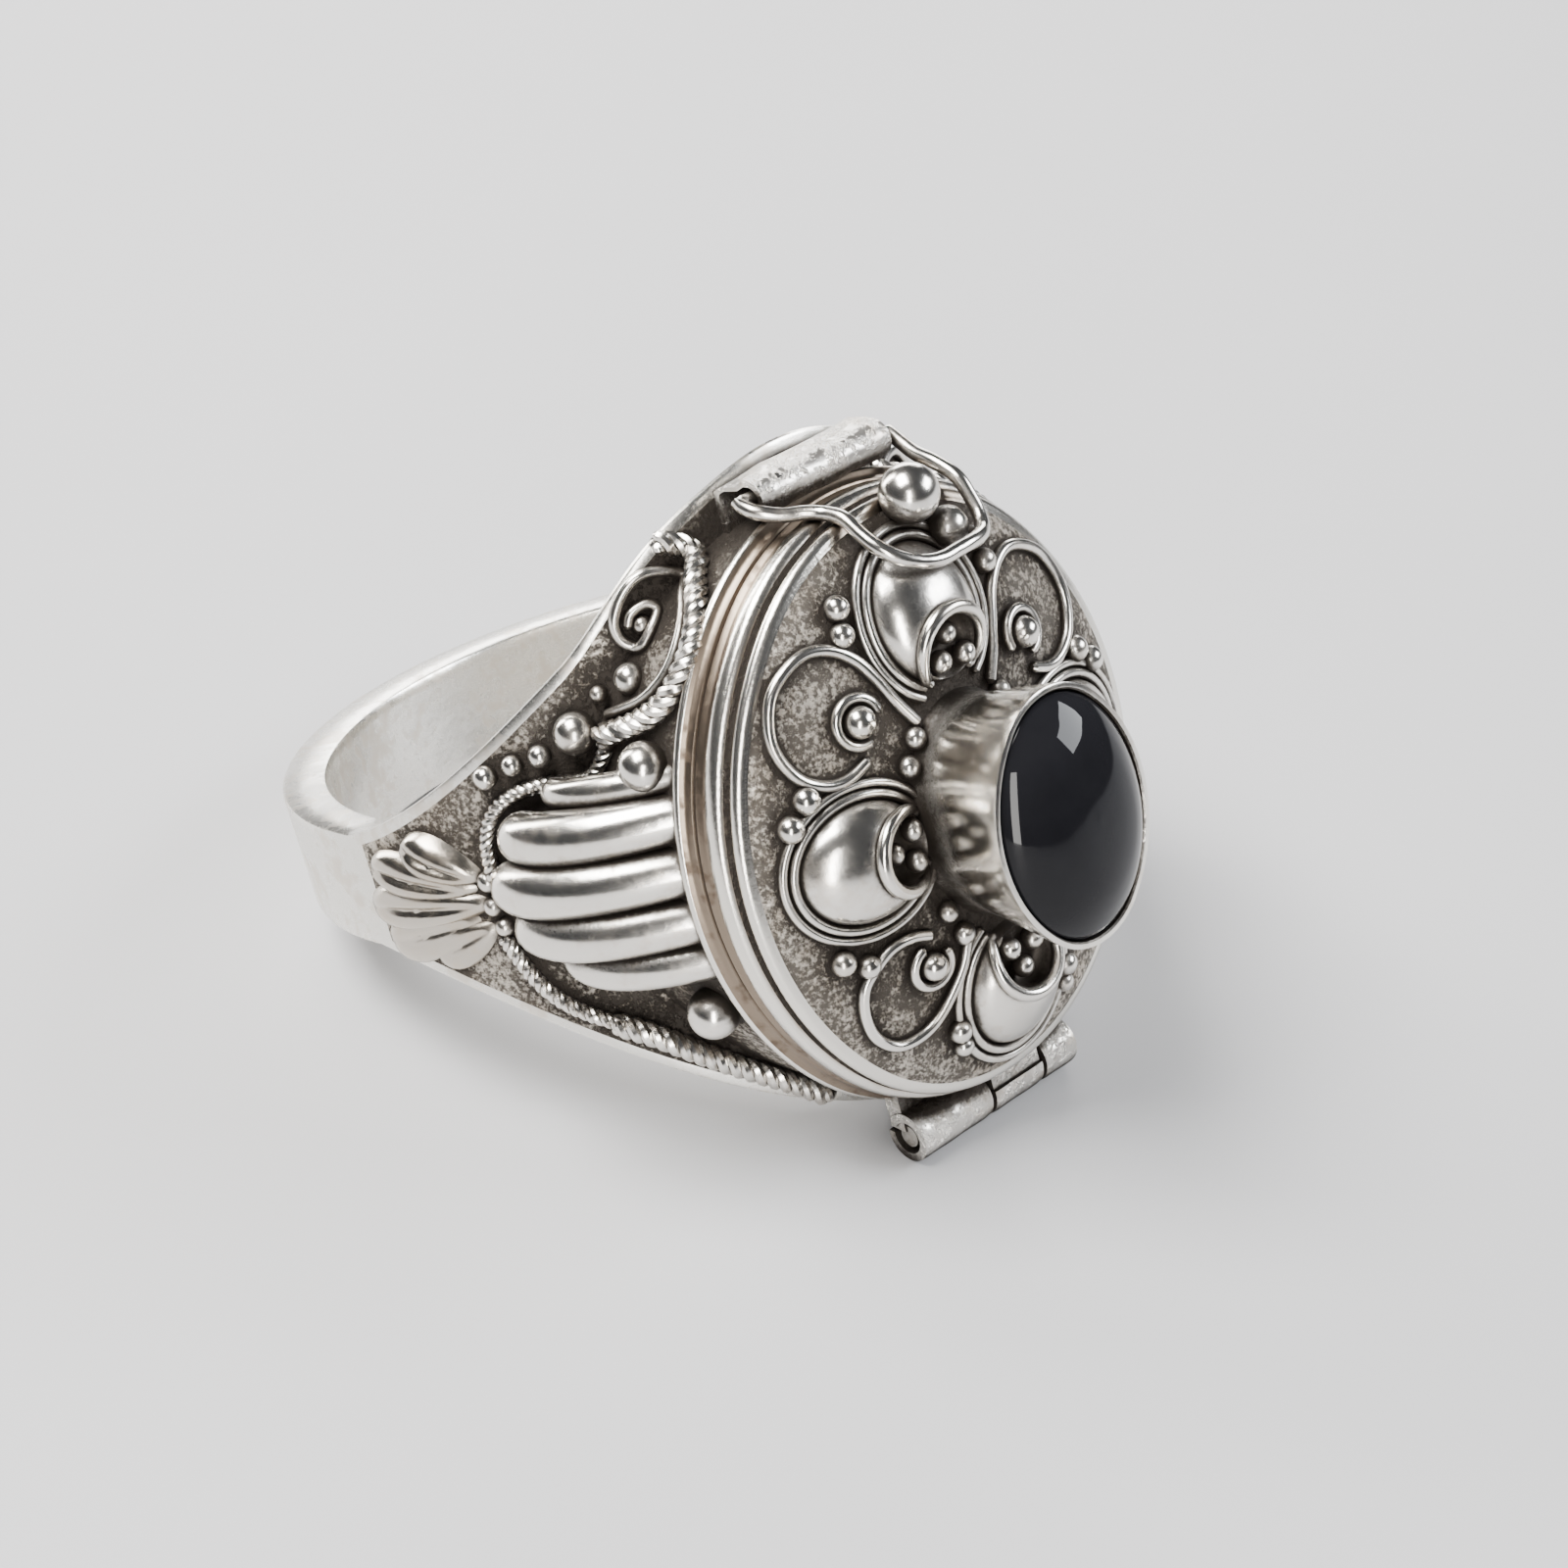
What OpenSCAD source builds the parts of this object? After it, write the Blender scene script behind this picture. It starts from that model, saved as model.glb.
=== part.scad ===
// Poison ring: a band with a locket head, a hinged lid and a bail catch.
// Built with the finger hole along Z and the head towards +X, then tilted to the way
// that it lies on a table: on its hinge barrel and on the back of the band.

/* [Finger hole] */
// Inner diameter of the band
bore_d = 18.9; // [17:0.1:21]

/* [Band] */
// Thickness of the sheet at the sides of the band
sheet_t = 1.25; // [1.1:0.05:1.5]
// How much thicker the back of the band is, and the front thinner
back_extra = 0.25; // [0.1:0.05:0.35]
// Width of the band at the back
band_w = 3.6; // [3:0.1:5]
// Distance that the shoulder sheet reaches past the box on the catch side
sheet_past = 1.2; // [0.8:0.1:1.5]
// How far the edge of the shoulder sheet arches up behind the catch
edge_arch = 0.7; // [0.4:0.05:0.8]

/* [Box] */
// Length of the box along the finger
head_l = 18.4; // [17.6:0.1:19.2]
// Width of the box across the finger
head_w = 15.8; // [15.2:0.1:16.4]
// Depth of the box at its middle
box_depth = 1.8; // [1.6:0.05:2.2]
// Thickness of the box wall
wall_t = 0.9; // [0.8:0.05:1.1]
// Overhang of the rim beyond the box wall
rim_out = 0.25; // [0.2:0.05:0.35]
// Height of the rim
rim_t = 0.5; // [0.4:0.05:0.7]

/* [Lid] */
// Gap between the rim of the box and the lid
seam = 0.06; // [0.05:0.01:0.12]
// Height of the lid's side, up to its upper ridge
lid_side_h = 1.7; // [1.6:0.05:1.9]
// Rise of the dome above the upper ridge
dome_rise = 1.2; // [1:0.05:1.4]
// Thickness of the lid's metal
lid_t = 0.8; // [0.6:0.05:0.9]

/* [Stone] */
// Length of the stone
stone_l = 7; // [6:0.1:7.4]
// Width of the stone
stone_w = 5.2; // [4.4:0.1:5.6]
// Height of the stone
stone_h = 1.9; // [1.6:0.1:2.2]
// Gap between the stone and its collar
stone_gap = 0.05; // [0.03:0.01:0.08]
// Thickness of the collar's edge
bezel_t = 0.22; // [0.18:0.02:0.3]
// Height of the collar above the dome
collar_h = 3.7; // [3:0.1:4]
// Depth of the stone's seat in the collar
seat_depth = 0.95; // [0.8:0.05:1.1]

/* [Hinge] */
// Outer radius of the hinge barrel
barrel_r = 0.77; // [0.7:0.01:0.85]
// Radius of the hinge pin
pin_r = 0.33; // [0.28:0.01:0.38]
// Length of the near knuckle on the box
near_knuckle_l = 2.8; // [2.4:0.1:3]
// Length of the knuckle on the lid
lid_knuckle_l = 2; // [1.8:0.1:2.2]
// Length of the far knuckle on the box
far_knuckle_l = 1.3; // [1.2:0.1:1.6]
// Running gap between two knuckles
knuckle_gap = 0.15; // [0.1:0.01:0.2]
// Radial clearance of the pin in the lid's knuckle
pin_clear = 0.05; // [0.04:0.01:0.08]

/* [Catch] */
// Radius of the bail's wire
bail_r = 0.25; // [0.2:0.01:0.28]
// Outer radius of the folded catch tab
tab_r = 0.56; // [0.5:0.01:0.6]
// Length of the catch tab
tab_l = 4.9; // [4.4:0.1:5.2]
// Radial clearance of the bail in its tab
bail_clear = 0.05; // [0.04:0.01:0.08]
// Radius of the large catch ball
big_ball_r = 0.85; // [0.75:0.01:0.9]
// Radius of the small catch ball
small_ball_r = 0.6; // [0.5:0.01:0.64]

/* [Ornament] */
// Radius of the rope wires on the shoulders
rope_r = 0.33; // [0.28:0.01:0.36]
// Radius of the plain wires on the lid
wire_r = 0.15; // [0.12:0.01:0.18]
// Radius of a granule
grain_r = 0.3; // [0.25:0.01:0.34]
// Radius of the middle rib of a shoulder melon
rib_r = 0.7; // [0.6:0.01:0.72]
// Height of the leaf on the band
leaf_t = 0.3; // [0.2:0.05:0.4]

/* [Hidden] */
$fn = 48;

// The driving sizes as radii and half lengths
bore_r = bore_d / 2;
sheet_r = bore_r + sheet_t;
half_l = head_l / 2;
half_w = head_w / 2;
past = 1;

// Heights along X: the top of the box, the underside of the lid, its ridge and the collar
rim_x = sheet_r - back_extra + box_depth;
lid_x = rim_x + seam;
ridge_x = lid_x + lid_side_h;
dome_x = ridge_x + dome_rise;
collar_x = dome_x + collar_h;
seat_x = collar_x - seat_depth;

// The hinge axis lies in the seam, outside the rim
hinge_x = rim_x + seam / 2;
hinge_z = -(half_l + barrel_r - 0.34);
barrel_gap = 0.1;
barrel_l = near_knuckle_l + lid_knuckle_l + far_knuckle_l + 2 * knuckle_gap;
near_y0 = -barrel_l / 2 + 0.1;
near_y1 = near_y0 + near_knuckle_l;
lid_y0 = near_y1 + knuckle_gap;
lid_y1 = lid_y0 + lid_knuckle_l;
far_y0 = lid_y1 + knuckle_gap;
far_y1 = far_y0 + far_knuckle_l;
strip_in = 0.06;
strip_h = 0.85;
strip_reach = 1;
pin_seat_gap = 0.03;
pin_recess = 0.08;

// The catch tab lies against the rim, just below the seam
tab_x = rim_x - tab_r + 0.04;
tab_z = half_l + 0.37;
tab_y0 = -tab_l / 2 + 0.1;

// How the ring lies: on the hinge barrel and on the lower back edge of the band
rest_run = hinge_x + sheet_r + back_extra;
rest_drop = -hinge_z - band_w / 2;
rest_tilt = atan2(rest_drop, rest_run) + asin(barrel_r / norm([rest_drop, rest_run]));

// Half width of the tapered sheet at an angle from the middle of the head
top_half = half_l + sheet_past;
foot_half = half_l + 0.1;
sheet_step = 5;
function flare(s) = 0.6 * pow(sin(90 * s), 2) + 0.4 * s;
function sheet_half(angle) =
    band_w / 2 + (top_half - band_w / 2) * flare(max(0, 90 - angle) / 90);

// Rise of the arched edge over a height, from its start to its full rise as shares of the sheet's radius
arch_from = 0.72;
arch_full = 0.916;
function ease(share) = let (s = min(max(share, 0), 1)) s * s * (3 - 2 * s);
function arch_over(x) = edge_arch * ease((x / sheet_r - arch_from) / (arch_full - arch_from));

// An oval of four tangent arcs. Its end arcs and side arcs share the centre offset.
function oval_c(a, b) = (a - b) / (2 - sqrt(2));
function oval_inset(along, across, a, b) =
    let (c = oval_c(a, b), u = abs(along), v = abs(across))
    u - c > v ? a - c - norm([u - c, v]) : b + c - norm([u, v + c]);
function oval_across(along, a, b) =
    let (c = oval_c(a, b), u = abs(along), turn = c + (a - c) * cos(45))
    u >= a ? 0 : u > turn ? sqrt(pow(a - c, 2) - pow(u - c, 2)) : sqrt(pow(b + c, 2) - u * u) - c;

// Height of the dome's outside over a point of the head
dome_inset = 0.85;
dome_flat = 6.5;
function dome_at(inset) =
    ridge_x + dome_rise * (1 - pow(1 - min(max(inset - dome_inset, 0), dome_flat) / dome_flat, 2));
function dome_over(y, z) = dome_at(oval_inset(z, y, half_l, half_w));

// Distance from the middle plane to the flank, over a point of the side view
flank_inset = rim_out;
function sheet_y(x) = let (u = x + back_extra * x / sheet_r) sqrt(max(0, sheet_r * sheet_r - u * u));
function wall_y(z) = oval_across(z, half_l - flank_inset, half_w - flank_inset);
function flank_y(x, z) = max(sheet_y(x), wall_y(z));
function flank(place, lift = 0) =
    let (x = place[0] * rim_x, z = place[1] * half_l) [x, -flank_y(x, z) - lift, z];

// Places on a shoulder, seen from the side.
// Columns: height as a share of the rim's, place along the finger as a share of the half length
rope_upper = [
    [0.44, 0.19], [0.51, 0.335], [0.62, 0.33], [0.70, 0.39], [0.80, 0.515], [0.89, 0.6],
    [0.925, 0.76], [0.855, 0.90],
];
rope_lower = [[0.44, -0.22], [0.545, -0.41], [0.66, -0.5], [0.76, -0.67], [0.84, -0.87]];
// Columns: height share, share along the finger, radius as a share of a granule's
shoulder_grains = [
    [0.400, 0.05, 0.9], [0.405, -0.04, 0.9], [0.415, -0.12, 0.9], [0.775, 0.765, 0.9],
    [0.735, 0.595, 1.3], [0.685, 0.595, 0.7], [0.57, 0.44, 0.8], [0.52, 0.42, 0.8],
    [0.475, 0.395, 0.8], [0.705, 0.475, 0.9], [0.70, -0.665, 0.8], [0.78, -0.905, 0.9],
];
// Columns: height share, share along the finger, radius in millimetres
shoulder_balls = [[0.655, 0.47, 0.6], [0.865, 0.405, 0.68], [0.885, -0.39, 0.75]];
// Outline of the leaf, seen from the side. Columns: height share, share along the finger
leaf = [
    [0.01, -0.045], [0.14, 0.08], [0.275, 0.19], [0.335, 0.13], [0.385, 0.05],
    [0.34, -0.07], [0.265, -0.17], [0.16, -0.23], [0.08, -0.17],
];
// Ribs of the melon. Columns: share along the finger, radius share, length share
ribs = [
    [0.37, 0.6, 0.72], [0.235, 0.97, 0.92], [0.08, 1, 1], [-0.075, 0.97, 0.95],
    [-0.21, 0.65, 0.72],
];
melon_x0 = 0.455 * rim_x;
melon_x1 = 0.9 * rim_x;
melon_rise = 1.1;
rib_sunk = 0.85;

// Places on the lid, as shares of the head's half length and half width
petal_along = 0.6;
petal_across = 0.555;
petal_dome_r = 1.45;
petal_loop_r = 1.7;
scroll_along = 0.445;
scroll_across = 0.505;
scroll_loop_r = 1.3;

// Places of the catch balls: height, across and along, from the tab's axis
big_ball = [tab_x + 2.78, 0.8, tab_z - 0.87];
small_ball = [tab_x + 2.82, 1.8, tab_z - 2.22];

// The bail's bends: height, across and along, from the tab's axis
bail_bends = [
    [0, -2.75, 0], [0.5, -2.68, -0.2], [0.95, -2.22, -0.45], [1.3, -1.72, -0.55],
    [1.7, -1.32, -0.68], [2.3, -1.24, -0.85], [2.8, -1.2, -1.28], [3.3, -1.1, -1.7],
    [3.65, -0.76, -2.07], [3.88, -0.2, -2.38], [3.95, 0.4, -2.52], [3.92, 1.0, -2.52],
    [3.88, 1.55, -2.52], [3.7, 2.1, -2.54], [3.35, 2.58, -2.5], [3.02, 2.85, -2.2],
    [2.75, 2.92, -1.75], [2.4, 2.92, -1.2], [1.7, 2.88, -0.8], [1.0, 2.86, -0.55],
    [0.45, 2.9, -0.25], [0, 2.95, 0],
];

// Turns the model from the frame of the finger hole to the way that it lies
module lying() rotate([0, -rest_tilt, 0]) children();

// Turns +Z to +X, so that a shape drawn flat lies on the head
module on_head() rotate([0, 90, 0]) children();

// A cylinder along Y between two places across the finger
module across(x, z, y0, y1, r)
    translate([x, y0, z]) rotate([-90, 0, 0]) cylinder(h = y1 - y0, r = r);

// An oval block between two heights
oval_step = 5;
module oval_prism(a, b, x0, x1) translate([x0, 0, 0]) on_head() linear_extrude(height = x1 - x0)
    polygon([for (turn = [0 : oval_step : 355])
        let (u = a * cos(turn)) [u, sign(round(sin(turn) * 1000)) * oval_across(u, a, b)]]);

module oval_profile(r, outline) polygon([for (p = outline) [max(0, r - p[0]), p[1]]]);

// Sweeps an outline of [inset, height] round an oval
module oval_sweep(a, b, outline) {
    c = oval_c(a, b);
    on_head() for (half = [0, 180]) rotate([0, 0, half]) {
        translate([c, 0, 0]) rotate([0, 0, -45]) rotate_extrude(angle = 90)
            oval_profile(a - c, outline);
        translate([0, -c, 0]) rotate([0, 0, 45]) rotate_extrude(angle = 90)
            oval_profile(b + c, outline);
    }
}

// A round wire with a ball at each bend
bend_past = 0.02;
module wire(places, r) {
    bend_r = r + bend_past;
    for (i = [0 : len(places) - 1]) translate(places[i]) sphere(r = bend_r);
    for (i = [0 : len(places) - 2]) {
        run = places[i + 1] - places[i];
        translate(places[i]) rotate([0, acos(run[2] / norm(run)), atan2(run[1], run[0])])
            cylinder(h = norm(run), r = r);
    }
}

// The tapered sheet that makes the band and both shoulders
module sheet() {
    side = [for (angle = [0 : sheet_step : 180]) [sheet_r * cos(angle), sheet_half(angle)]];
    outline = concat(
        [[sheet_r + past, top_half + edge_arch]],
        [for (p = side) [p[0], p[1] + arch_over(p[0])]],
        [[-sheet_r - past, band_w / 2], [-sheet_r - past, -band_w / 2]],
        [for (i = [len(side) - 1 : -1 : 0]) [side[i][0], -min(side[i][1], foot_half)]],
        [[sheet_r + past, -foot_half]]);
    intersection() {
        translate([-back_extra, 0, -top_half - past]) cylinder(h = 2 * (top_half + past), r = sheet_r);
        rotate([90, 0, 0]) linear_extrude(height = 2 * (sheet_r + past), center = true) polygon(outline);
    }
}

// How far the rim's inside laps over the wall's
rim_lap = 0.04;

// The box: a straight wall on the sheet, and a rounded rim round its top
module box_wall() {
    foot_x = sheet_y(half_w) - past;
    lip_x = rim_x - rim_t;
    rim_in = rim_out + wall_t + rim_lap;
    difference() {
        union() {
            difference() {
                oval_prism(half_l - rim_out, half_w - rim_out, foot_x, rim_x - rim_t / 2);
                oval_prism(half_l - rim_out - wall_t, half_w - rim_out - wall_t, foot_x - past, rim_x + past);
            }
            oval_sweep(half_l, half_w, [
                [rim_out + 0.1, lip_x - 0.15], [0.04, lip_x + 0.06], [0, lip_x + rim_t / 3],
                [0.06, rim_x - 0.08], [0.2, rim_x], [rim_in, rim_x - 0.03],
                [rim_in + 0.03, lip_x - 0.17],
            ]);
        }
        across(hinge_x, hinge_z, lid_y0 - barrel_gap, lid_y1 + barrel_gap, barrel_r + barrel_gap);
    }
}

// The solder strip that joins a knuckle of the box to the box wall, set in from the knuckle's faces
module knuckle_foot(y0, y1)
    translate([rim_x - strip_h - strip_in, y0 + strip_in, hinge_z - barrel_r / 3])
        cube([strip_h, y1 - y0 - 2 * strip_in, barrel_r + strip_reach]);

module box_knuckles() for (span = [[near_y0, near_y1], [far_y0, far_y1]]) {
    across(hinge_x, hinge_z, span[0], span[1], barrel_r);
    knuckle_foot(span[0], span[1]);
}

module catch_tab() {
    across(tab_x, tab_z, tab_y0, tab_y0 + tab_l, tab_r);
    translate([tab_x - tab_r, tab_y0, half_l - 1]) cube([0.8, tab_l, tab_z - half_l + 1]);
}

// Stacked ribs that bulge from the shoulder up to the rim, with their ends sunk in the metal
module melon() for (rib = ribs) {
    x0 = melon_x1 - (melon_x1 - melon_x0) * rib[2];
    z = rib[0] * half_l;
    start = [x0, -sheet_y(x0) + rib_sunk];
    end = [melon_x1, -wall_y(z) + rib_sunk / 2];
    chord = norm(end - start);
    rise = melon_rise * rib[2] + rib_sunk / 2;
    arc_r = (chord * chord / 4 + rise * rise) / (2 * rise);
    half_turn = asin(chord / 2 / arc_r);
    middle = (start + end) / 2;
    translate([middle[0], middle[1], z]) rotate([0, 0, atan2(end[1] - start[1], end[0] - start[0])])
        translate([0, arc_r - rise, 0]) rotate([0, 0, -90 - half_turn])
            rotate_extrude(angle = 2 * half_turn) translate([arc_r, 0]) circle(r = rib_r * rib[1]);
}

module leaf_plate() intersection() {
    translate([-back_extra, 0, -half_l]) cylinder(h = head_l, r = sheet_r + leaf_t);
    rotate([90, 0, 0]) linear_extrude(height = sheet_r + past)
        polygon([for (p = leaf) [p[0] * rim_x, p[1] * half_l]]);
}

module shoulder() {
    melon();
    leaf_plate();
    wire([for (place = rope_upper) flank(place, rope_r / 3)], rope_r);
    wire([for (place = rope_lower) flank(place, rope_r / 3)], rope_r);
    for (g = shoulder_grains) translate(flank(g, grain_r / 4)) sphere(r = grain_r * g[2]);
    for (b = shoulder_balls) translate(flank(b, b[2] / 2)) sphere(r = b[2]);
}

module ring_body() color("silver") lying() difference() {
    union() {
        sheet();
        box_wall();
        box_knuckles();
        catch_tab();
        shoulder();
        mirror([0, 1, 0]) shoulder();
    }
    translate([0, 0, -top_half - past]) cylinder(h = 2 * (top_half + past), r = bore_r);
    across(hinge_x, hinge_z, near_y0 - past, far_y1 + past, pin_r + pin_seat_gap);
    across(tab_x, tab_z, tab_y0 - past, tab_y0 + tab_l + past, bail_r + bail_clear);
}

module hinge_pin() color("gainsboro") lying()
    across(hinge_x, hinge_z, near_y0 + pin_recess, far_y1 - pin_recess, pin_r);

// A loop, a raised petal, a crescent and three grains, pointing at the stone
module petal() {
    crescent_r = 0.75;
    crescent_at = 1.15;
    sphere_drop = 0.75;
    translate([0, 0, -sphere_drop]) sphere(r = petal_dome_r);
    rotate_extrude() translate([petal_loop_r, 0]) circle(r = wire_r);
    translate([crescent_at, 0, 0.35]) rotate([0, 0, 80]) rotate_extrude(angle = 200)
        translate([crescent_r, 0]) circle(r = wire_r * 1.3);
    for (turn = [-60, 0, 60]) translate([crescent_at, 0, 0.3]) rotate([0, 0, turn])
        translate([0.42, 0, 0]) sphere(r = grain_r);
}

// A scroll loop with a small ring and a bead in it
module curl() {
    eye_r = 0.45;
    eye_at = 0.7;
    rotate([0, 0, 40]) rotate_extrude(angle = 280) translate([scroll_loop_r, 0]) circle(r = wire_r);
    translate([eye_at, 0, 0.1]) rotate_extrude() translate([eye_r, 0]) circle(r = wire_r);
    translate([eye_at, 0, 0]) sphere(r = grain_r * 1.1);
}

// Sets a shape on the dome at a place across and along the head, turned towards the stone
module on_dome(y, z) translate([dome_over(y, z), y, z]) on_head() rotate([0, 0, atan2(-y, z)]) children();

module lid_ornament() {
    for (way = [-1, 1]) {
        on_dome(0, way * petal_along * half_l) petal();
        on_dome(way * petal_across * half_w, 0) petal();
        for (side = [-1, 1]) {
            y = side * scroll_across * half_w;
            z = way * scroll_along * half_l;
            on_dome(y, z) curl();
            for (place = [[0.36, 0.80], [0.30, 0.86], [0.80, 0.30], [0.83, 0.20]])
                on_dome(side * place[0] * half_w, way * place[1] * half_l) sphere(r = grain_r);
        }
    }
}

module collar() {
    a = stone_l / 2 + stone_gap + bezel_t;
    b = stone_w / 2 + stone_gap + bezel_t;
    // Columns: inset, height
    outline = [
        [0.45, dome_x - 0.5], [0.55, dome_x + 0.25 * collar_h], [0.42, dome_x + 0.5 * collar_h],
        [0.2, dome_x + 0.75 * collar_h], [0.02, collar_x - 0.2], [0.02, collar_x],
    ];
    difference() {
        on_head() scale([1, b / a, 1]) rotate_extrude()
            polygon(concat([[0, dome_x - 0.5]], [for (p = outline) [a - p[0], p[1]]], [[0, collar_x]]));
        oval_prism(a - bezel_t, b - bezel_t, seat_x, collar_x + past);
    }
}

module lid_shell() {
    low_ridge_x = lid_x + 0.55;
    groove_x = lid_x + 1.0;
    middle = 99;
    steps = 5;
    dome = [for (i = [1 : steps]) let (inset = dome_inset + dome_flat * i / steps)
        [inset, dome_at(inset)]];
    under = [for (i = [steps : -1 : 1]) let (inset = dome_inset + dome_flat * i / steps)
        [inset + lid_t / 2, dome_at(inset) - lid_t]];
    oval_sweep(half_l, half_w, concat(
        [[0.3, lid_x], [0.42, lid_x + 0.12], [0.56, lid_x + 0.3], [0.48, low_ridge_x - 0.05],
         [0.45, low_ridge_x + 0.05], [0.5, low_ridge_x + 0.16], [0.85, low_ridge_x + 0.22],
         [0.88, groove_x], [0.85, ridge_x - 0.28], [0.72, ridge_x - 0.2], [0.68, ridge_x - 0.1],
         [0.74, ridge_x - 0.03], [dome_inset, ridge_x]],
        dome, [[middle, dome_x], [middle, dome_x - lid_t]], under,
        [[wall_t + rim_out + 0.1, ridge_x - 0.8], [wall_t + rim_out, lid_x + 0.05]]));
}

module lid_knuckle() {
    across(hinge_x, hinge_z, lid_y0, lid_y1, barrel_r);
    translate([lid_x + strip_in, lid_y0 + strip_in, hinge_z - barrel_r / 3])
        cube([strip_h, lid_knuckle_l - 2 * strip_in, barrel_r + strip_reach]);
}

module lid() color("silver") lying() difference() {
    union() {
        difference() {
            lid_shell();
            across(hinge_x, hinge_z, near_y0 - barrel_gap, near_y1 + barrel_gap, barrel_r + barrel_gap);
            across(hinge_x, hinge_z, far_y0 - barrel_gap, far_y1 + barrel_gap, barrel_r + barrel_gap);
        }
        collar();
        lid_ornament();
        lid_knuckle();
        translate(big_ball) sphere(r = big_ball_r);
        translate(small_ball) sphere(r = small_ball_r);
    }
    across(hinge_x, hinge_z, near_y0, far_y1, pin_r + pin_clear);
}

module stone() color("black") lying() {
    dome = [[1, 0], [1, 0.42], [0.96, 0.55], [0.86, 0.7], [0.7, 0.84], [0.45, 0.95], [0.2, 0.99], [0, 1]];
    translate([seat_x + stone_gap, 0, 0]) on_head() scale([1, stone_w / stone_l, 1])
        rotate_extrude() polygon(concat([[0, 0]], [for (p = dome) [p[0] * stone_l / 2, p[1] * stone_h]]));
}

// The bail's loop, closed by the straight axle that turns in the tab
module latch_bail() color("silver") lying() {
    loop = [for (bend = bail_bends) [tab_x, 0, tab_z] + bend];
    wire(concat(loop, [loop[0]]), bail_r);
}

ring_body();
hinge_pin();
lid();
stone();
latch_bail();
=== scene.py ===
"""Dresses the poison ring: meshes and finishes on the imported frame, with floor, lights and camera.

Shapes are built in the ring's own frame, in millimetres: finger hole along Z, head towards +X,
hinge along Y at the low end of the head. lying() turns them to the way that the ring lies.
"""
import logging
import math
from abc import ABC, abstractmethod
from collections.abc import Sequence
from dataclasses import dataclass
from enum import Enum
from typing import ClassVar

import bmesh
import bpy
import numpy as np
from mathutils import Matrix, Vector


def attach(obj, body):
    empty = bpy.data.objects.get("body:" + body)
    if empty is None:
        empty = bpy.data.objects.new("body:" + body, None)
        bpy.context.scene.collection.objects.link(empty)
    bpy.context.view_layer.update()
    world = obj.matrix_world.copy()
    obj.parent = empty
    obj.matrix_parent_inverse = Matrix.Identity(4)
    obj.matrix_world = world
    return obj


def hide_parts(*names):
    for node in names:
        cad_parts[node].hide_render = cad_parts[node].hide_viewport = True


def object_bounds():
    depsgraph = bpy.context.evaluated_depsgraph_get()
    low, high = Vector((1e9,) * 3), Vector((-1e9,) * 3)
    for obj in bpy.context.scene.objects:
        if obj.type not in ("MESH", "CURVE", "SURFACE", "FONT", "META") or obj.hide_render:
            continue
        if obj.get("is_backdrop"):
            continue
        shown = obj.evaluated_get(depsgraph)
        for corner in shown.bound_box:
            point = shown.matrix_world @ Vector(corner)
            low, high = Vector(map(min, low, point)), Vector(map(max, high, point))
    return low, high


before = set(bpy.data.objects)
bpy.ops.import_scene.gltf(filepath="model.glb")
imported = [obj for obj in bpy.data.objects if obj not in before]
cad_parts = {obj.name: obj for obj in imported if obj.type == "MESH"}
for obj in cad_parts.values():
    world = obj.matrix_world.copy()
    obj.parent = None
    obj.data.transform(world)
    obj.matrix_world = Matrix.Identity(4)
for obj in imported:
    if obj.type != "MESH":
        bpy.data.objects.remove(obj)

log = logging.getLogger("poison_ring")

Point = tuple[float, float, float]
Colour = tuple[float, float, float]
Pair = tuple[float, float]
Triple = tuple[float, float, float]


class Finish(Enum):
    """The named finishes of the ring and its stage."""

    BRIGHT = "bright_silver"
    BAND = "worn_silver"
    GROUND = "stippled_ground"
    SIDE = "ridged_side"
    COVE = "brown_cove"
    GROOVE = "black_groove"
    STRIP = "hammered_strip"
    ROPE = "twisted_wire"
    LEAF = "worn_leaf"
    STONE = "black_stone_gloss"
    FLOOR = "pale_floor"


class Side(Enum):
    """A shoulder of the ring, by the sign of Y."""

    NEAR = -1
    FAR = 1


# Shader maths


class Signal:
    """A number that varies over a surface: an output socket whose operators add Math nodes."""

    def __init__(self, graph: "Graph", socket: bpy.types.NodeSocket) -> None:
        """Wraps an output socket of the graph."""
        self.graph = graph
        self.socket = socket

    def _math(self, operation: str, first: object, second: object) -> "Signal":
        """Adds a Math node on two operands, each a Signal or a number."""
        return self.graph.add("ShaderNodeMath", {"operation": operation}, {0: first, 1: second})

    def __add__(self, other: object) -> "Signal":
        """Sum."""
        return self._math("ADD", self, other)

    __radd__ = __add__

    def __sub__(self, other: object) -> "Signal":
        """Difference."""
        return self._math("SUBTRACT", self, other)

    def __rsub__(self, other: object) -> "Signal":
        """Difference from a number."""
        return self._math("SUBTRACT", other, self)

    def __mul__(self, other: object) -> "Signal":
        """Product."""
        return self._math("MULTIPLY", self, other)

    __rmul__ = __mul__

    def clamped(self) -> "Signal":
        """The value held between 0 and 1."""
        return self.graph.add("ShaderNodeClamp", {}, {0: self})

    def step(self, low: float, high: float) -> "Signal":
        """Rises smoothly from 0 at low to 1 at high."""
        settings = {"interpolation_type": "SMOOTHSTEP"}
        return self.graph.add("ShaderNodeMapRange", settings, {0: self, 1: low, 2: high, 3: 0.0, 4: 1.0})


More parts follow.
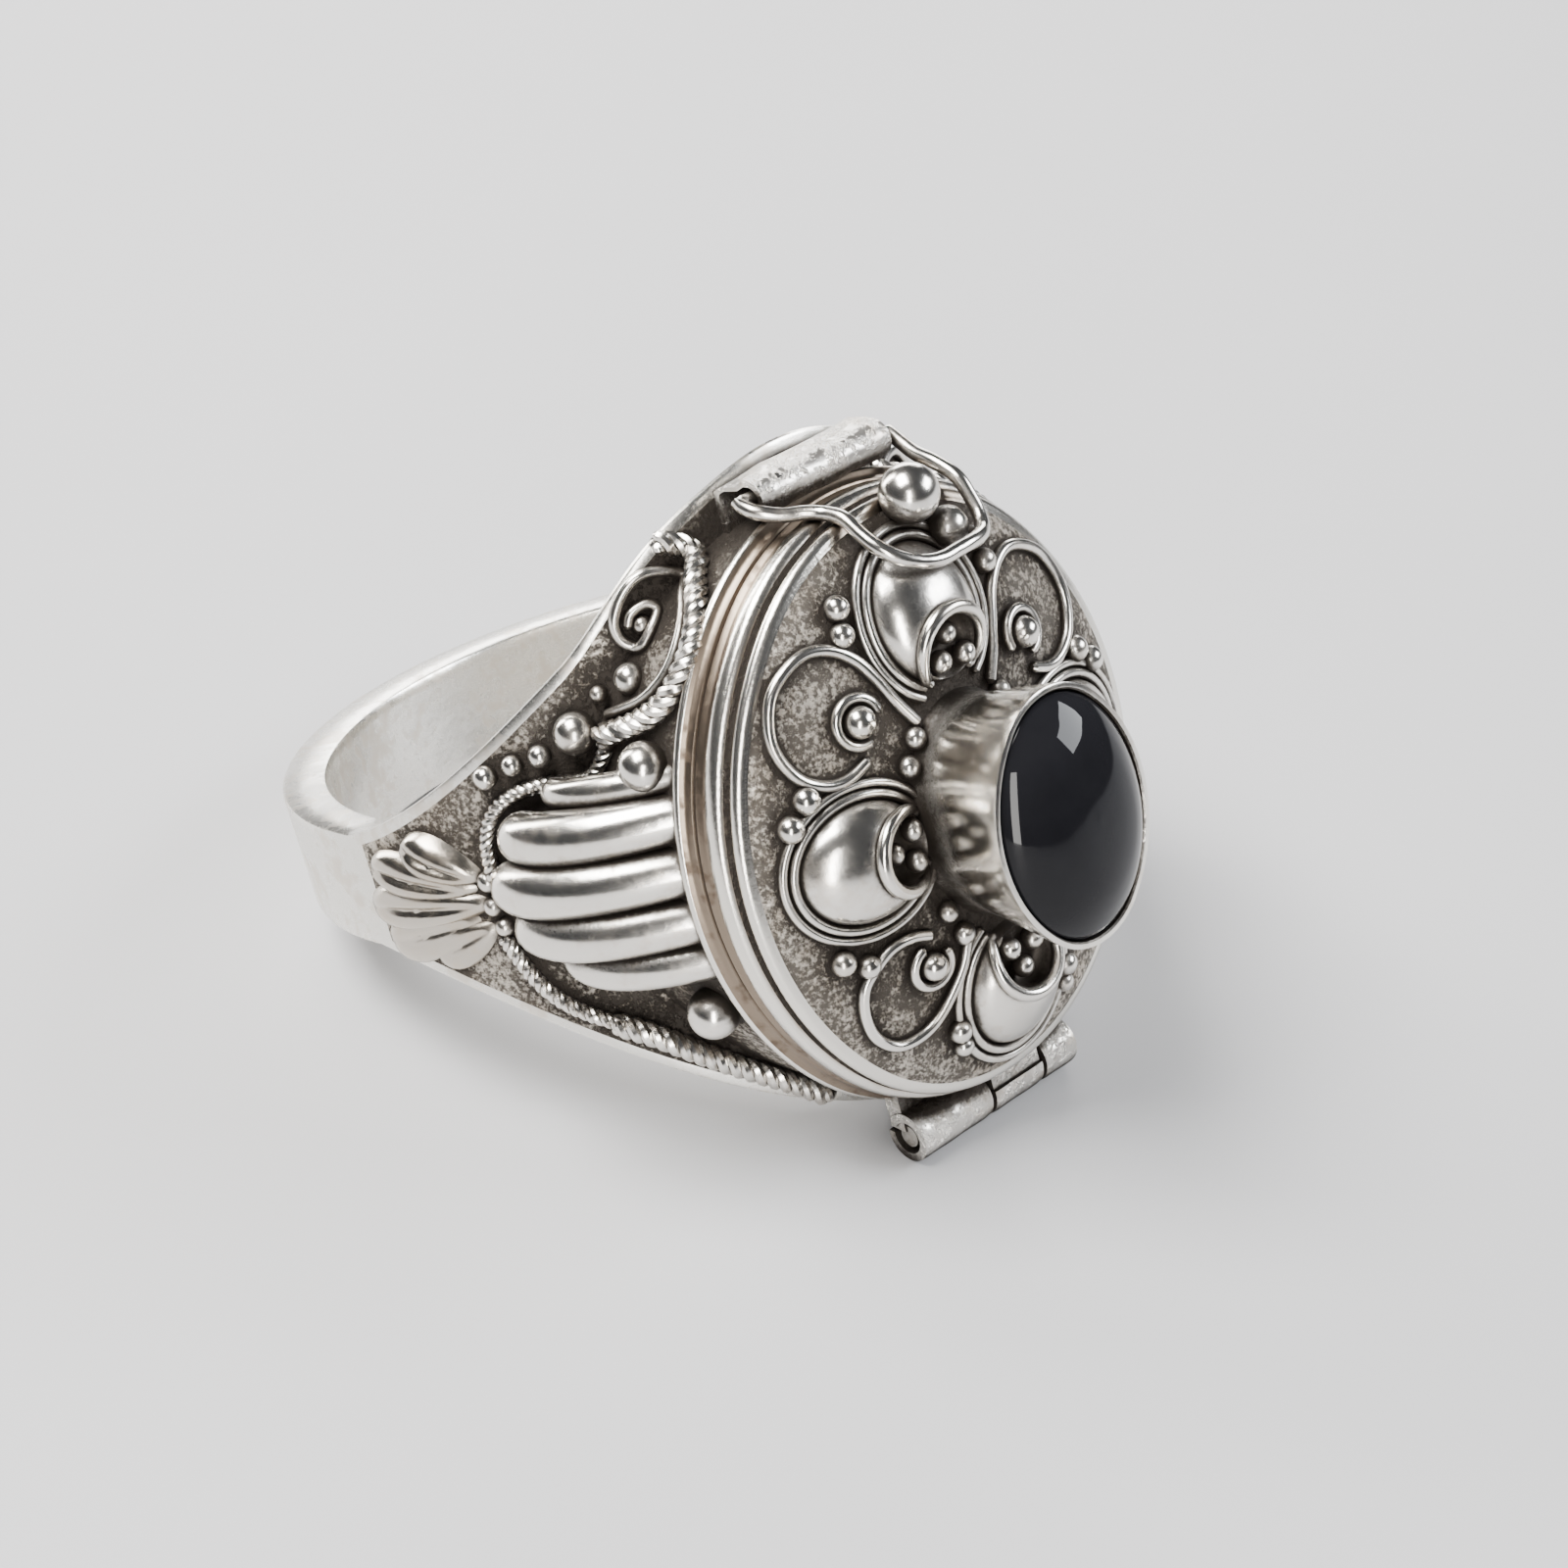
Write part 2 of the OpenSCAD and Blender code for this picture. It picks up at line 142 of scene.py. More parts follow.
class Graph:
    """The node tree of one material."""

    def __init__(self, name: str) -> None:
        """Makes an empty material with a Principled shader.

        Args:
            name: The material's name.
        """
        self.material = bpy.data.materials.new(name)
        self.material.use_nodes = True
        self.tree = self.material.node_tree
        self.tree.nodes.clear()
        self.shader = self.tree.nodes.new("ShaderNodeBsdfPrincipled")
        output = self.tree.nodes.new("ShaderNodeOutputMaterial")
        self.tree.links.new(self.shader.outputs[0], output.inputs[0])

    def add(self, kind: str, settings: dict, values: dict, output: int | str = 0) -> Signal:
        """Adds any node.

        Args:
            kind: The node's type.
            settings: Properties that are set first.
            values: Numbers, colours or Signals by input name or number.
            output: Which output is wanted.

        Returns:
            That output as a Signal.
        """
        node = self.tree.nodes.new(kind)
        for key, value in settings.items():
            setattr(node, key, value)
        for key, value in values.items():
            self.feed(node.inputs[key], value)
        return Signal(self, node.outputs[output])

    def feed(self, socket: bpy.types.NodeSocket, value: object) -> None:
        """Links a Signal to a socket, or sets its constant.

        Args:
            socket: The input.
            value: A Signal, a number or a colour.
        """
        if isinstance(value, Signal):
            self.tree.links.new(value.socket, socket)
        elif socket.type == "RGBA":
            socket.default_value = (*value, 1.0)
        else:
            socket.default_value = value

    def place(self) -> Signal:
        """Object coordinates in metres."""
        return self.add("ShaderNodeTexCoord", {}, {}, "Object")

    def noise(self, per_mm: float, detail: float = 3.0, rough: float = 0.55, twist: float = 0.0) -> Signal:
        """Noise between 0 and 1.

        Args:
            per_mm: Features to a millimetre.
            detail: Octaves.
            rough: How strong the finer octaves are.
            twist: Distortion.

        Returns:
            The noise as a Signal.
        """
        values = {"Vector": self.place(), "Scale": per_mm * 1000, "Detail": detail, "Roughness": rough,
                  "Distortion": twist}
        return self.add("ShaderNodeTexNoise", {}, values, "Fac")

    def shelter(self, reach_mm: float) -> Signal:
        """How much a point lies in a recess, looked for as far as the reach, from 0 in the open to 1."""
        values = {"Distance": reach_mm / 1000}
        return 1.0 - self.add("ShaderNodeAmbientOcclusion", {"samples": 8}, values, "AO")

    def mix(self, share: object, first: object, second: object) -> Signal:
        """Mixes two colours by the share of the second."""
        return self.add("ShaderNodeMix", {"data_type": "RGBA"}, {0: share, 6: first, 7: second}, 2)

    def bump(self, height: Signal, depth_mm: float, strength: float = 1.0,
             below: Signal | None = None) -> Signal:
        """A bumped normal.

        Args:
            height: Height between 0 and 1.
            depth_mm: Depth of a height of 1.
            strength: Strength of the bump.
            below: Another bump that this one rides on.

        Returns:
            The normal as a Signal.
        """
        values = {"Height": height, "Distance": depth_mm / 1000, "Strength": strength}
        if below is not None:
            values["Normal"] = below
        return self.add("ShaderNodeBump", {}, values)

    def dress(self, **values: object) -> bpy.types.Material:
        """Feeds the Principled shader.

        Args:
            **values: Numbers, colours or Signals, named as the sockets are, with _ for a space.

        Returns:
            The finished material.
        """
        for key, value in values.items():
            self.feed(self.shader.inputs[key.replace("_", " ")], value)
        return self.material


# Finishes


@dataclass(frozen=True)
class Silver:
    """Sterling silver, polished on its high places and dark with oxide in its recesses."""

    name: str
    metal: Colour = (0.74, 0.71, 0.66)
    oxide: Colour = (0.030, 0.024, 0.019)
    tarnish: Colour = (0.50, 0.39, 0.27)
    polish: float = 0.17
    recess_mm: float = 1.3
    recess_low: float = 0.12
    recess_high: float = 0.42
    tarnish_share: float = 0.25
    tarnish_low: float = 0.48
    tarnish_high: float = 0.72
    stipple: float = 0.0
    stipple_per_mm: float = 4.0
    stipple_mm: float = 0.05
    stipple_low: float = 0.44
    stipple_high: float = 0.64
    cloud_per_mm: float = 0.55
    grit_per_mm: float = 7.0
    grit_mm: float = 0.006
    scratch_per_mm: float = 14.0
    hammer_per_mm: float = 1.1
    hammer_mm: float = 0.03
    # What oxide, tarnish and scratches add to the roughness, and oxide takes from the metal
    oxide_rough: float = 0.34
    tarnish_rough: float = 0.25
    scratch_rough: float = 0.10
    oxide_dull: float = 0.35

    def make(self) -> bpy.types.Material:
        """The material, with its recesses darkened by their shelter.

        Returns:
            The material.
        """
        g = Graph(self.name)
        cloud, grit = g.noise(self.cloud_per_mm, 4.0), g.noise(self.grit_per_mm, 3.0, 0.65)
        scratch = g.noise(self.scratch_per_mm, 2.0, 0.6, 1.5)
        uneven = (cloud - 0.5) * 0.35 + (grit - 0.5) * 0.25
        recess = (g.shelter(self.recess_mm) + uneven).step(self.recess_low, self.recess_high)
        blotch = cloud + (g.noise(2.2, 3.0) - 0.5) * 0.6
        stain = blotch.step(self.tarnish_low, self.tarnish_high) * self.tarnish_share
        punched = g.noise(self.stipple_per_mm, 4.0, 0.75) + (g.noise(0.9, 2.0) - 0.5) * 0.35
        raised = punched.step(self.stipple_low, self.stipple_high)
        dark = (recess + (1.0 - raised) * self.stipple).clamped()
        colour = g.mix(dark, g.mix(stain, self.metal, self.tarnish), self.oxide)
        rough = dark * self.oxide_rough + scratch * self.scratch_rough + stain * self.tarnish_rough
        normal = g.bump(g.noise(self.hammer_per_mm, 2.0), self.hammer_mm, 0.5)
        if self.stipple:
            normal = g.bump(raised, self.stipple_mm, 0.9, normal)
        normal = g.bump(grit, self.grit_mm, 0.5, normal)
        return g.dress(Base_Color=colour, Metallic=1.0 - dark * self.oxide_dull,
                       Roughness=rough + (self.polish - 0.03), Normal=normal)


@dataclass(frozen=True)
class RidgedSide:
    """The turned side of the lid and box: bright ridges with a brown tarnished cove between them."""

    name: str
    metal: Colour = (0.76, 0.73, 0.67)
    brown: Colour = (0.24, 0.17, 0.11)
    oxide: Colour = (0.035, 0.028, 0.022)
    recess_mm: float = 0.7
    brown_low: float = 0.12
    brown_high: float = 0.38
    oxide_low: float = 0.40
    oxide_high: float = 0.74
    polish: float = 0.17
    grit_mm: float = 0.010
    hammer_mm: float = 0.03

    def make(self) -> bpy.types.Material:
        """The material, whose brown sits where the side is hollow.

        Returns:
            The material.
        """
        g = Graph(self.name)
        shelter = g.shelter(self.recess_mm)
        cloud, grit = g.noise(0.7, 4.0), g.noise(9.0, 3.0, 0.65)
        brown = (shelter + (cloud - 0.5) * 0.4).step(self.brown_low, self.brown_high)
        dark = (shelter + (grit - 0.5) * 0.3).step(self.oxide_low, self.oxide_high)
        colour = g.mix(dark, g.mix(brown * 0.8, self.metal, self.brown), self.oxide)
        rough = self.polish + brown * 0.16 + grit * 0.08
        normal = g.bump(grit, self.grit_mm, 0.6, g.bump(g.noise(1.3, 2.0), self.hammer_mm, 0.4))
        return g.dress(Base_Color=colour, Metallic=1.0, Roughness=rough, Normal=normal)


@dataclass(frozen=True)
class Gem:
    """Opaque black stone with a glassy polish."""

    name: str
    black: Colour = (0.004, 0.004, 0.005)
    haze: Colour = (0.012, 0.012, 0.014)
    polish: float = 0.02
    wear: float = 0.05
    refraction: float = 1.54
    shine: float = 0.14

    def make(self) -> bpy.types.Material:
        """The material, with a faint haze in the polish.

        Returns:
            The material.
        """
        g = Graph(self.name)
        colour = g.mix(g.noise(0.4, 3.0), self.black, self.haze)
        rough = self.polish + g.noise(3.0, 2.0).step(0.55, 0.9) * self.wear
        return g.dress(Base_Color=colour, Roughness=rough, IOR=self.refraction, Specular_IOR_Level=self.shine)


@dataclass(frozen=True)
class Plaster:
    """The pale, plain floor."""

    name: str
    pale: Colour = (0.42, 0.42, 0.43)
    paler: Colour = (0.47, 0.47, 0.48)
    rough: float = 0.55

    def make(self) -> bpy.types.Material:
        """The material, with a faint mottle.

        Returns:
            The material.
        """
        g = Graph(self.name)
        colour = g.mix(g.noise(0.02, 4.0), self.pale, self.paler)
        return g.dress(Base_Color=colour, Roughness=self.rough, Normal=g.bump(g.noise(1.5, 3.0), 0.02, 0.3))


class Finishes:
    """Makes each finish once."""

    def __init__(self) -> None:
        """Sets up the recipes."""
        recipes = (
            Silver(Finish.BRIGHT.value),
            Silver(Finish.BAND.value, metal=(0.78, 0.76, 0.71), polish=0.24, tarnish_share=0.35,
                   recess_low=0.40, recess_high=0.85, hammer_mm=0.05),
            Silver(Finish.GROUND.value, metal=(0.56, 0.51, 0.44), polish=0.30, stipple=0.88,
                   stipple_per_mm=6.0, recess_mm=1.9, recess_low=0.04, recess_high=0.34),
            RidgedSide(Finish.SIDE.value),
            Silver(Finish.LEAF.value, metal=(0.50, 0.46, 0.40), recess_mm=0.8, recess_low=0.22,
                   recess_high=0.58),
            Silver(Finish.ROPE.value, polish=0.2, recess_mm=0.3, recess_low=0.30, recess_high=0.62),
            Silver(Finish.STRIP.value, polish=0.22, tarnish_share=0.35, hammer_mm=0.12, stipple=0.16,
                   stipple_per_mm=3.0),
            Silver(Finish.COVE.value, metal=(0.215, 0.17, 0.13), tarnish=(0.10, 0.072, 0.052),
                   tarnish_share=0.8, polish=0.30, recess_low=0.40, recess_high=0.85),
            Silver(Finish.GROOVE.value, metal=(0.20, 0.17, 0.14), polish=0.36, stipple=0.7),
            Gem(Finish.STONE.value),
            Plaster(Finish.FLOOR.value),
        )
        self._recipes = {Finish(recipe.name): recipe for recipe in recipes}
        self._made: dict[Finish, bpy.types.Material] = {}

    def get(self, finish: Finish) -> bpy.types.Material:
        """The material of a finish, made at the first call.

        Args:
            finish: Which finish.

        Returns:
            Its material.
        """
        if finish not in self._made:
            self._made[finish] = self._recipes[finish].make()
        return self._made[finish]


# Mesh building


def full_turn(steps: int) -> np.ndarray:
    """Even angles of a full turn, in radians."""
    return np.linspace(0, 2 * np.pi, steps, endpoint=False)


def add_object(name: str, data: bpy.types.ID) -> bpy.types.Object:
    """Adds an object to the scene.

    Args:
        name: Its name.
        data: Its mesh, light or camera.

    Returns:
        The object.
    """
    thing = bpy.data.objects.new(name, data)
    bpy.context.scene.collection.objects.link(thing)
    return thing


def smooth_path(points: Sequence[Sequence[float]], step: float) -> np.ndarray:
    """A smooth curve through points, with even steps.

    Args:
        points: The places that the curve passes.
        step: Distance between the new points.

    Returns:
        The new points, one row each.
    """
    per_span = 16
    knots = np.asarray(points, float)
    padded = np.vstack([2 * knots[0] - knots[1], knots, 2 * knots[-1] - knots[-2]])
    fine = []
    for p0, p1, p2, p3 in zip(padded, padded[1:], padded[2:], padded[3:]):
        for t in np.linspace(0, 1, per_span, endpoint=False):
            fine.append(0.5 * (2 * p1 + (p2 - p0) * t + (2 * p0 - 5 * p1 + 4 * p2 - p3) * t * t
                               + (3 * p1 - p0 - 3 * p2 + p3) * t ** 3))
    fine.append(padded[-2])
    fine = np.array(fine)
    run = np.concatenate([[0.0], np.cumsum(np.linalg.norm(np.diff(fine, axis=0), axis=1))])
    places = np.linspace(0, run[-1], max(3, int(run[-1] / step) + 1))
    return np.column_stack([np.interp(places, run, fine[:, i]) for i in range(3)])


def path_frames(path: np.ndarray, closed: bool) -> tuple[np.ndarray, np.ndarray]:
    """Two directions across a path at each point, which turn as little as they can.

    Args:
        path: The path's points.
        closed: Whether it is a loop.

    Returns:
        The two directions, one row a point.
    """
    if closed:
        along = np.roll(path, -1, 0) - np.roll(path, 1, 0)
    else:
        along = np.gradient(path, axis=0)
    along = along / np.linalg.norm(along, axis=1)[:, None]
    start = np.array([1.0, 0.0, 0.0]) if abs(along[0][0]) < 0.9 else np.array([0.0, 1.0, 0.0])
    first = []
    for direction in along:
        start = start - direction * (start @ direction)
        start = start / np.linalg.norm(start)
        first.append(start)
    first = np.array(first)
    return first, np.cross(along, first)


class Shape:
    """Collects the surfaces of one piece in the ring's own frame, in millimetres."""

    def __init__(self) -> None:
        """Starts empty."""
        self.points: list[np.ndarray] = []
        self.count = 0
        self.faces: list[tuple[int, ...]] = []
        self.marks: list[Finish] = []

    def _face(self, corners: tuple[int, ...], finish: Finish) -> None:
        """Adds a face."""
        self.faces.append(corners)
        self.marks.append(finish)

    def grid(self, rows: Sequence | np.ndarray, finish: Finish, round_rows: bool = False,
             round_columns: bool = False, cap_ends: bool = False) -> None:
        """Adds a surface from a grid of points.

        Args:
            rows: Points, as rows by columns by 3.
            finish: Its finish.
            round_rows: Whether the last row joins the first.
            round_columns: Whether the last column joins the first.
            cap_ends: Whether the first and last row are closed.
        """
        rows = np.asarray(rows, float)
        n, m = rows.shape[:2]
        first = self.count
        self.points.append(rows.reshape(-1, 3))
        self.count += n * m
        for i in range(n if round_rows else n - 1):
            for j in range(m if round_columns else m - 1):
                a, b = first + i * m, first + (i + 1) % n * m
                k = (j + 1) % m
                self._face((a + j, a + k, b + k, b + j), finish)
        if cap_ends:
            self._face(tuple(first + j for j in range(m)), finish)
            self._face(tuple(first + (n - 1) * m + j for j in range(m)), finish)

    def tube(self, path: np.ndarray, radius: float | np.ndarray, finish: Finish, sides: int = 12,
             closed: bool = False) -> None:
        """Adds a round wire with rounded ends.

        Args:
            path: Its middle line.
            radius: Its radius, one number or one a point.
            finish: Its finish.
            sides: Facets round it.
            closed: Whether it is a loop.
        """
        radius = np.full(len(path), radius) if np.isscalar(radius) else np.asarray(radius)
        if not closed:
            tip_out, tip_r = 0.6, 0.5
            back, ahead = path[1] - path[0], path[-1] - path[-2]
            start = path[0] - back / np.linalg.norm(back) * radius[0] * tip_out
            end = path[-1] + ahead / np.linalg.norm(ahead) * radius[-1] * tip_out
            path = np.vstack([start, path, end])
            radius = np.concatenate([[radius[0] * tip_r], radius, [radius[-1] * tip_r]])
        one, two = path_frames(path, closed)
        turn = full_turn(sides)
        ring = one[:, None] * np.cos(turn)[None, :, None] + two[:, None] * np.sin(turn)[None, :, None]
        self.grid(path[:, None] + ring * radius[:, None, None], finish, closed, True, not closed)

    def rope(self, places: Sequence[Sequence[float]], radius: float, pitch: float, finish: Finish) -> None:
        """Adds a rope of three twisted strands.

        Args:
            places: Points that the rope passes.
            radius: Radius of the rope.
            pitch: Length of one full twist.
            finish: Its finish.
        """
        steps, rounds, strand_at, strand_r = 14, 6, 0.54, 0.47
        rough = smooth_path(places, 0.2)
        for _ in range(rounds):
            rough[1:-1] = (rough[:-2] + 2 * rough[1:-1] + rough[2:]) / 4
        path = smooth_path(rough, pitch / steps)
        one, two = path_frames(path, False)
        angle = np.arange(len(path)) * 2 * np.pi / steps
        for start in (0, 2 * np.pi / 3, 4 * np.pi / 3):
            off = one * np.cos(angle + start)[:, None] + two * np.sin(angle + start)[:, None]
            self.tube(path + off * radius * strand_at, radius * strand_r, finish, 8)

    def ball(self, centre: Sequence[float], radius: float, finish: Finish, segments: int = 28) -> None:
        """Adds a ball.

        Args:
            centre: Its middle.
            radius: Its radius.
            finish: Its finish.
            segments: Facets round it.
        """
        rise = np.linspace(-np.pi / 2, np.pi / 2, segments // 2 + 1)
        turn = full_turn(segments)
        shell = np.stack([np.cos(rise)[:, None] * np.cos(turn), np.cos(rise)[:, None] * np.sin(turn),
                          np.repeat(np.sin(rise)[:, None], segments, 1)], -1)
        self.grid(np.asarray(centre) + shell * radius, finish, False, True)

    def strip_ends(self, rows: Sequence[Sequence[Point]], finish: Finish) -> None:
        """Closes both ends of a bent strip, whose outline runs along one face and back along the other.

        Args:
            rows: The strip's outlines, from one end to the other.
            finish: The finish of the ends.
        """
        half = len(rows[0]) // 2
        for row in (rows[0], rows[-1]):
            self.grid([row[:half], row[half:][::-1]], finish)

    def mark_spans(self, per_row: int, spans: Sequence[tuple[int, int, Finish]]) -> None:
        """Gives spans of a grid's columns another finish.

        Args:
            per_row: Columns of the grid.
            spans: First column, column after the last, finish.
        """
        for i in range(len(self.faces)):
            for first, last, finish in spans:
                if first <= i % per_row < last:
                    self.marks[i] = finish

    def build(self, name: str, finishes: Finishes, sharp_deg: float) -> bpy.types.Object:
        """Makes the object, in metres and lying as the ring lies.

        Args:
            name: Its name.
            finishes: The finishes.
            sharp_deg: Edges sharper than this stay crisp.

        Returns:
            The object.
        """
        mesh = bpy.data.meshes.new(name)
        mesh.from_pydata(lying(np.vstack(self.points)).tolist(), [], self.faces)
        used = list(dict.fromkeys(self.marks))
        for finish in used:
            mesh.materials.append(finishes.get(finish))
        mesh.polygons.foreach_set("material_index", [used.index(mark) for mark in self.marks])
        work = bmesh.new()
        work.from_mesh(mesh)
        bmesh.ops.remove_doubles(work, verts=work.verts, dist=1e-7)
        bmesh.ops.recalc_face_normals(work, faces=work.faces)
        work.to_mesh(mesh)
        work.free()
        mesh.shade_smooth()
        mesh.set_sharp_from_angle(angle=math.radians(sharp_deg))
        return add_object(name, mesh)


REST_TILT = math.radians(20.4271)


def lying(points: np.ndarray) -> np.ndarray:
    """Turns points of the ring's own frame to the way that it lies.

    Args:
        points: Rows of x, y, z in millimetres.

    Returns:
        Rows in metres.
    """
    x, y, z = points.T
    cos, sin = math.cos(REST_TILT), math.sin(REST_TILT)
    return np.column_stack([x * cos - z * sin, y, x * sin + z * cos]) / 1000


# The ring's measures


@dataclass(frozen=True)
class Measures:
    """The sizes that the pieces share, in millimetres."""

    bore_r: float = 9.45
    sheet_r: float = 10.7
    back_extra: float = 0.25
    band_half: float = 1.8
    half_l: float = 9.2
    half_w: float = 7.9
    top_half: float = 10.4
    edge_arch: float = 0.7
    arch_from: float = 0.72
    arch_span: float = 0.196
    foot_half: float = 9.3
    rim_out: float = 0.25
    rim_x: float = 12.25
    lid_x: float = 12.31
    ridge_x: float = 14.01
    dome_rise: float = 1.2
    dome_inset: float = 0.85
    dome_flat: float = 6.5
    collar_h: float = 3.7
    hinge_x: float = 12.28
    hinge_z: float = -9.63
    axle_x: float = 11.73
    axle_z: float = 9.57
    # Both ends of each hinge knuckle, across the head
    near_knuckle: Pair = (-3.1, -0.3)
    lid_knuckle: Pair = (-0.15, 1.85)
    far_knuckle: Pair = (2.0, 3.3)

    @property
    def dome_x(self) -> float:
        """Height of the dome's middle."""
        return self.ridge_x + self.dome_rise

    @property
    def collar_x(self) -> float:
        """Height of the collar's edge."""
        return self.dome_x + self.collar_h

    @staticmethod
    def oval_c(a: float, b: float) -> float:
        """Centre offset of the four-arc oval."""
        return (a - b) / (2 - math.sqrt(2))

    def inset(self, y: float, z: float) -> float:
        """Distance of a place of the head from the rim.

        Args:
            y: Place across.
            z: Place along.

        Returns:
            The distance, less than 0 outside the rim.
        """
        c = self.oval_c(self.half_l, self.half_w)
        u, v = abs(z), abs(y)
        if u - c > v:
            return self.half_l - c - math.hypot(u - c, v)
        return self.half_w + c - math.hypot(u, v + c)

    def dome_at(self, inset: float) -> float:
        """Height of the dome at a distance from the rim."""
        share = min(max(inset - self.dome_inset, 0), self.dome_flat) / self.dome_flat
        return self.ridge_x + self.dome_rise * (1 - (1 - share) ** 2)

    def on_dome(self, y: float, z: float, lift: float = 0.0) -> Point:
        """A place across and along, lifted above the dome."""
        return (self.dome_at(self.inset(y, z)) + lift, y, z)

    def sheet_y(self, x: float) -> float:
        """Half width of the sheet's outside at a height."""
        u = x + self.back_extra * x / self.sheet_r
        return math.sqrt(max(0.0, self.sheet_r ** 2 - u * u))

    def wall_y(self, z: float) -> float:
        """Half width of the box wall.

        Args:
            z: Place along.

        Returns:
            The half width there.
        """
        a, b = self.half_l - self.rim_out, self.half_w - self.rim_out
        c = self.oval_c(a, b)
        u = min(abs(z), a)
        if u > c + (a - c) * math.cos(math.pi / 4):
            return math.sqrt(max(0.0, (a - c) ** 2 - (u - c) ** 2))
        return math.sqrt((b + c) ** 2 - u * u) - c

    def flank(self, place: Sequence[float], side: Side, lift: float = 0.0) -> Point:
        """A place on a shoulder, lifted outwards, from its height and place along in the side view."""
        x, z = place
        return (x, side.value * (max(self.sheet_y(x), self.wall_y(z)) + lift), z)

    def sheet_half(self, x: float) -> float:
        """Half width along the finger of the tapered sheet.

        Args:
            x: Height.

        Returns:
            The half width there.
        """
        angle = math.degrees(math.acos(max(-1.0, min(1.0, x / self.sheet_r))))
        share = max(0.0, 90 - angle) / 90
        swell = 0.6 * math.sin(math.radians(90 * share)) ** 2 + 0.4 * share
        return self.band_half + (self.top_half - self.band_half) * swell

    def sheet_edges(self, x: float) -> Pair:
        """Both edges of the sheet along the finger at a height."""
        half = self.sheet_half(x)
        return -min(half, self.foot_half), half + self.arch_over(x)

    def arch_over(self, x: float) -> float:
        """Rise of the plate's edge on the catch side at a height."""
        share = min(max((x / self.sheet_r - self.arch_from) / self.arch_span, 0.0), 1.0)
        return self.edge_arch * share * share * (3 - 2 * share)

    def sweep(self, a: float, b: float, outline: Sequence[Sequence[float]], per_arc: int = 44) -> np.ndarray:
        """Sweeps an outline of (inset, height) pairs round the four-arc oval.

        Args:
            a: Half length of the oval, along the finger.
            b: Half width of the oval, across it.
            outline: The outline, from one end to the other.
            per_arc: Points to an arc.

        Returns:
            A grid of points: round the oval by along the outline.
        """
        c = self.oval_c(a, b)
        rows = []
        for k, (y, z, radius) in enumerate(((0, c, a - c), (c, 0, b + c), (0, -c, a - c), (-c, 0, b + c))):
            for t in range(per_arc):
                turn = math.radians(45 + 90 * k + 90 * t / per_arc)
                reaches = [(height, max(0.0, radius - inset)) for inset, height in outline]
                rows.append([(height, y + math.cos(turn) * reach, z + math.sin(turn) * reach)
                             for height, reach in reaches])
        return np.array(rows)

    def clear_barrel(self, rows: np.ndarray, knuckle: Pair, radius: float = 0.87,
                     gap: float = 0.1) -> np.ndarray:
        """Moves points out of the space in which a knuckle turns.

        Args:
            rows: A grid of points.
            knuckle: Both ends of the knuckle.
            radius: Radius that stays free round the hinge's axis.
            gap: Length that stays free past each end.

        Returns:
            The grid with the moved points.
        """
        off = rows[..., [0, 2]] - (self.hinge_x, self.hinge_z)
        reach = np.linalg.norm(off, axis=-1)
        near = (reach < radius) & (rows[..., 1] > knuckle[0] - gap) & (rows[..., 1] < knuckle[1] + gap)
        grow = np.where(near, radius / np.maximum(reach, 1e-6), 1.0)[..., None]
        moved = rows.copy()
        moved[..., [0, 2]] = (self.hinge_x, self.hinge_z) + off * grow
        return moved


M = Measures()


class Piece(ABC):
    """One piece of the ring, whose surfaces become one object."""

    title: ClassVar[str]
    sharp_deg: ClassVar[float] = 38.0

    @property
    def name(self) -> str:
        """The object's name."""
        return self.title

    @abstractmethod
    def draw(self, shape: Shape) -> None:
        """Adds the piece's surfaces to a shape."""

    def build(self, finishes: Finishes) -> bpy.types.Object:
        """Makes the piece's object.

        Args:
            finishes: The finishes.

        Returns:
            The object.
        """
        shape = Shape()
        self.draw(shape)
        return shape.build(self.name, finishes, self.sharp_deg)


@dataclass
class ShoulderPiece(Piece):
    """A piece that both shoulders have."""

    side: Side

    @property
    def name(self) -> str:
        """The title with the shoulder's side."""
        return f"{self.title}_{self.side.name.lower()}"


# Band, box and shoulders


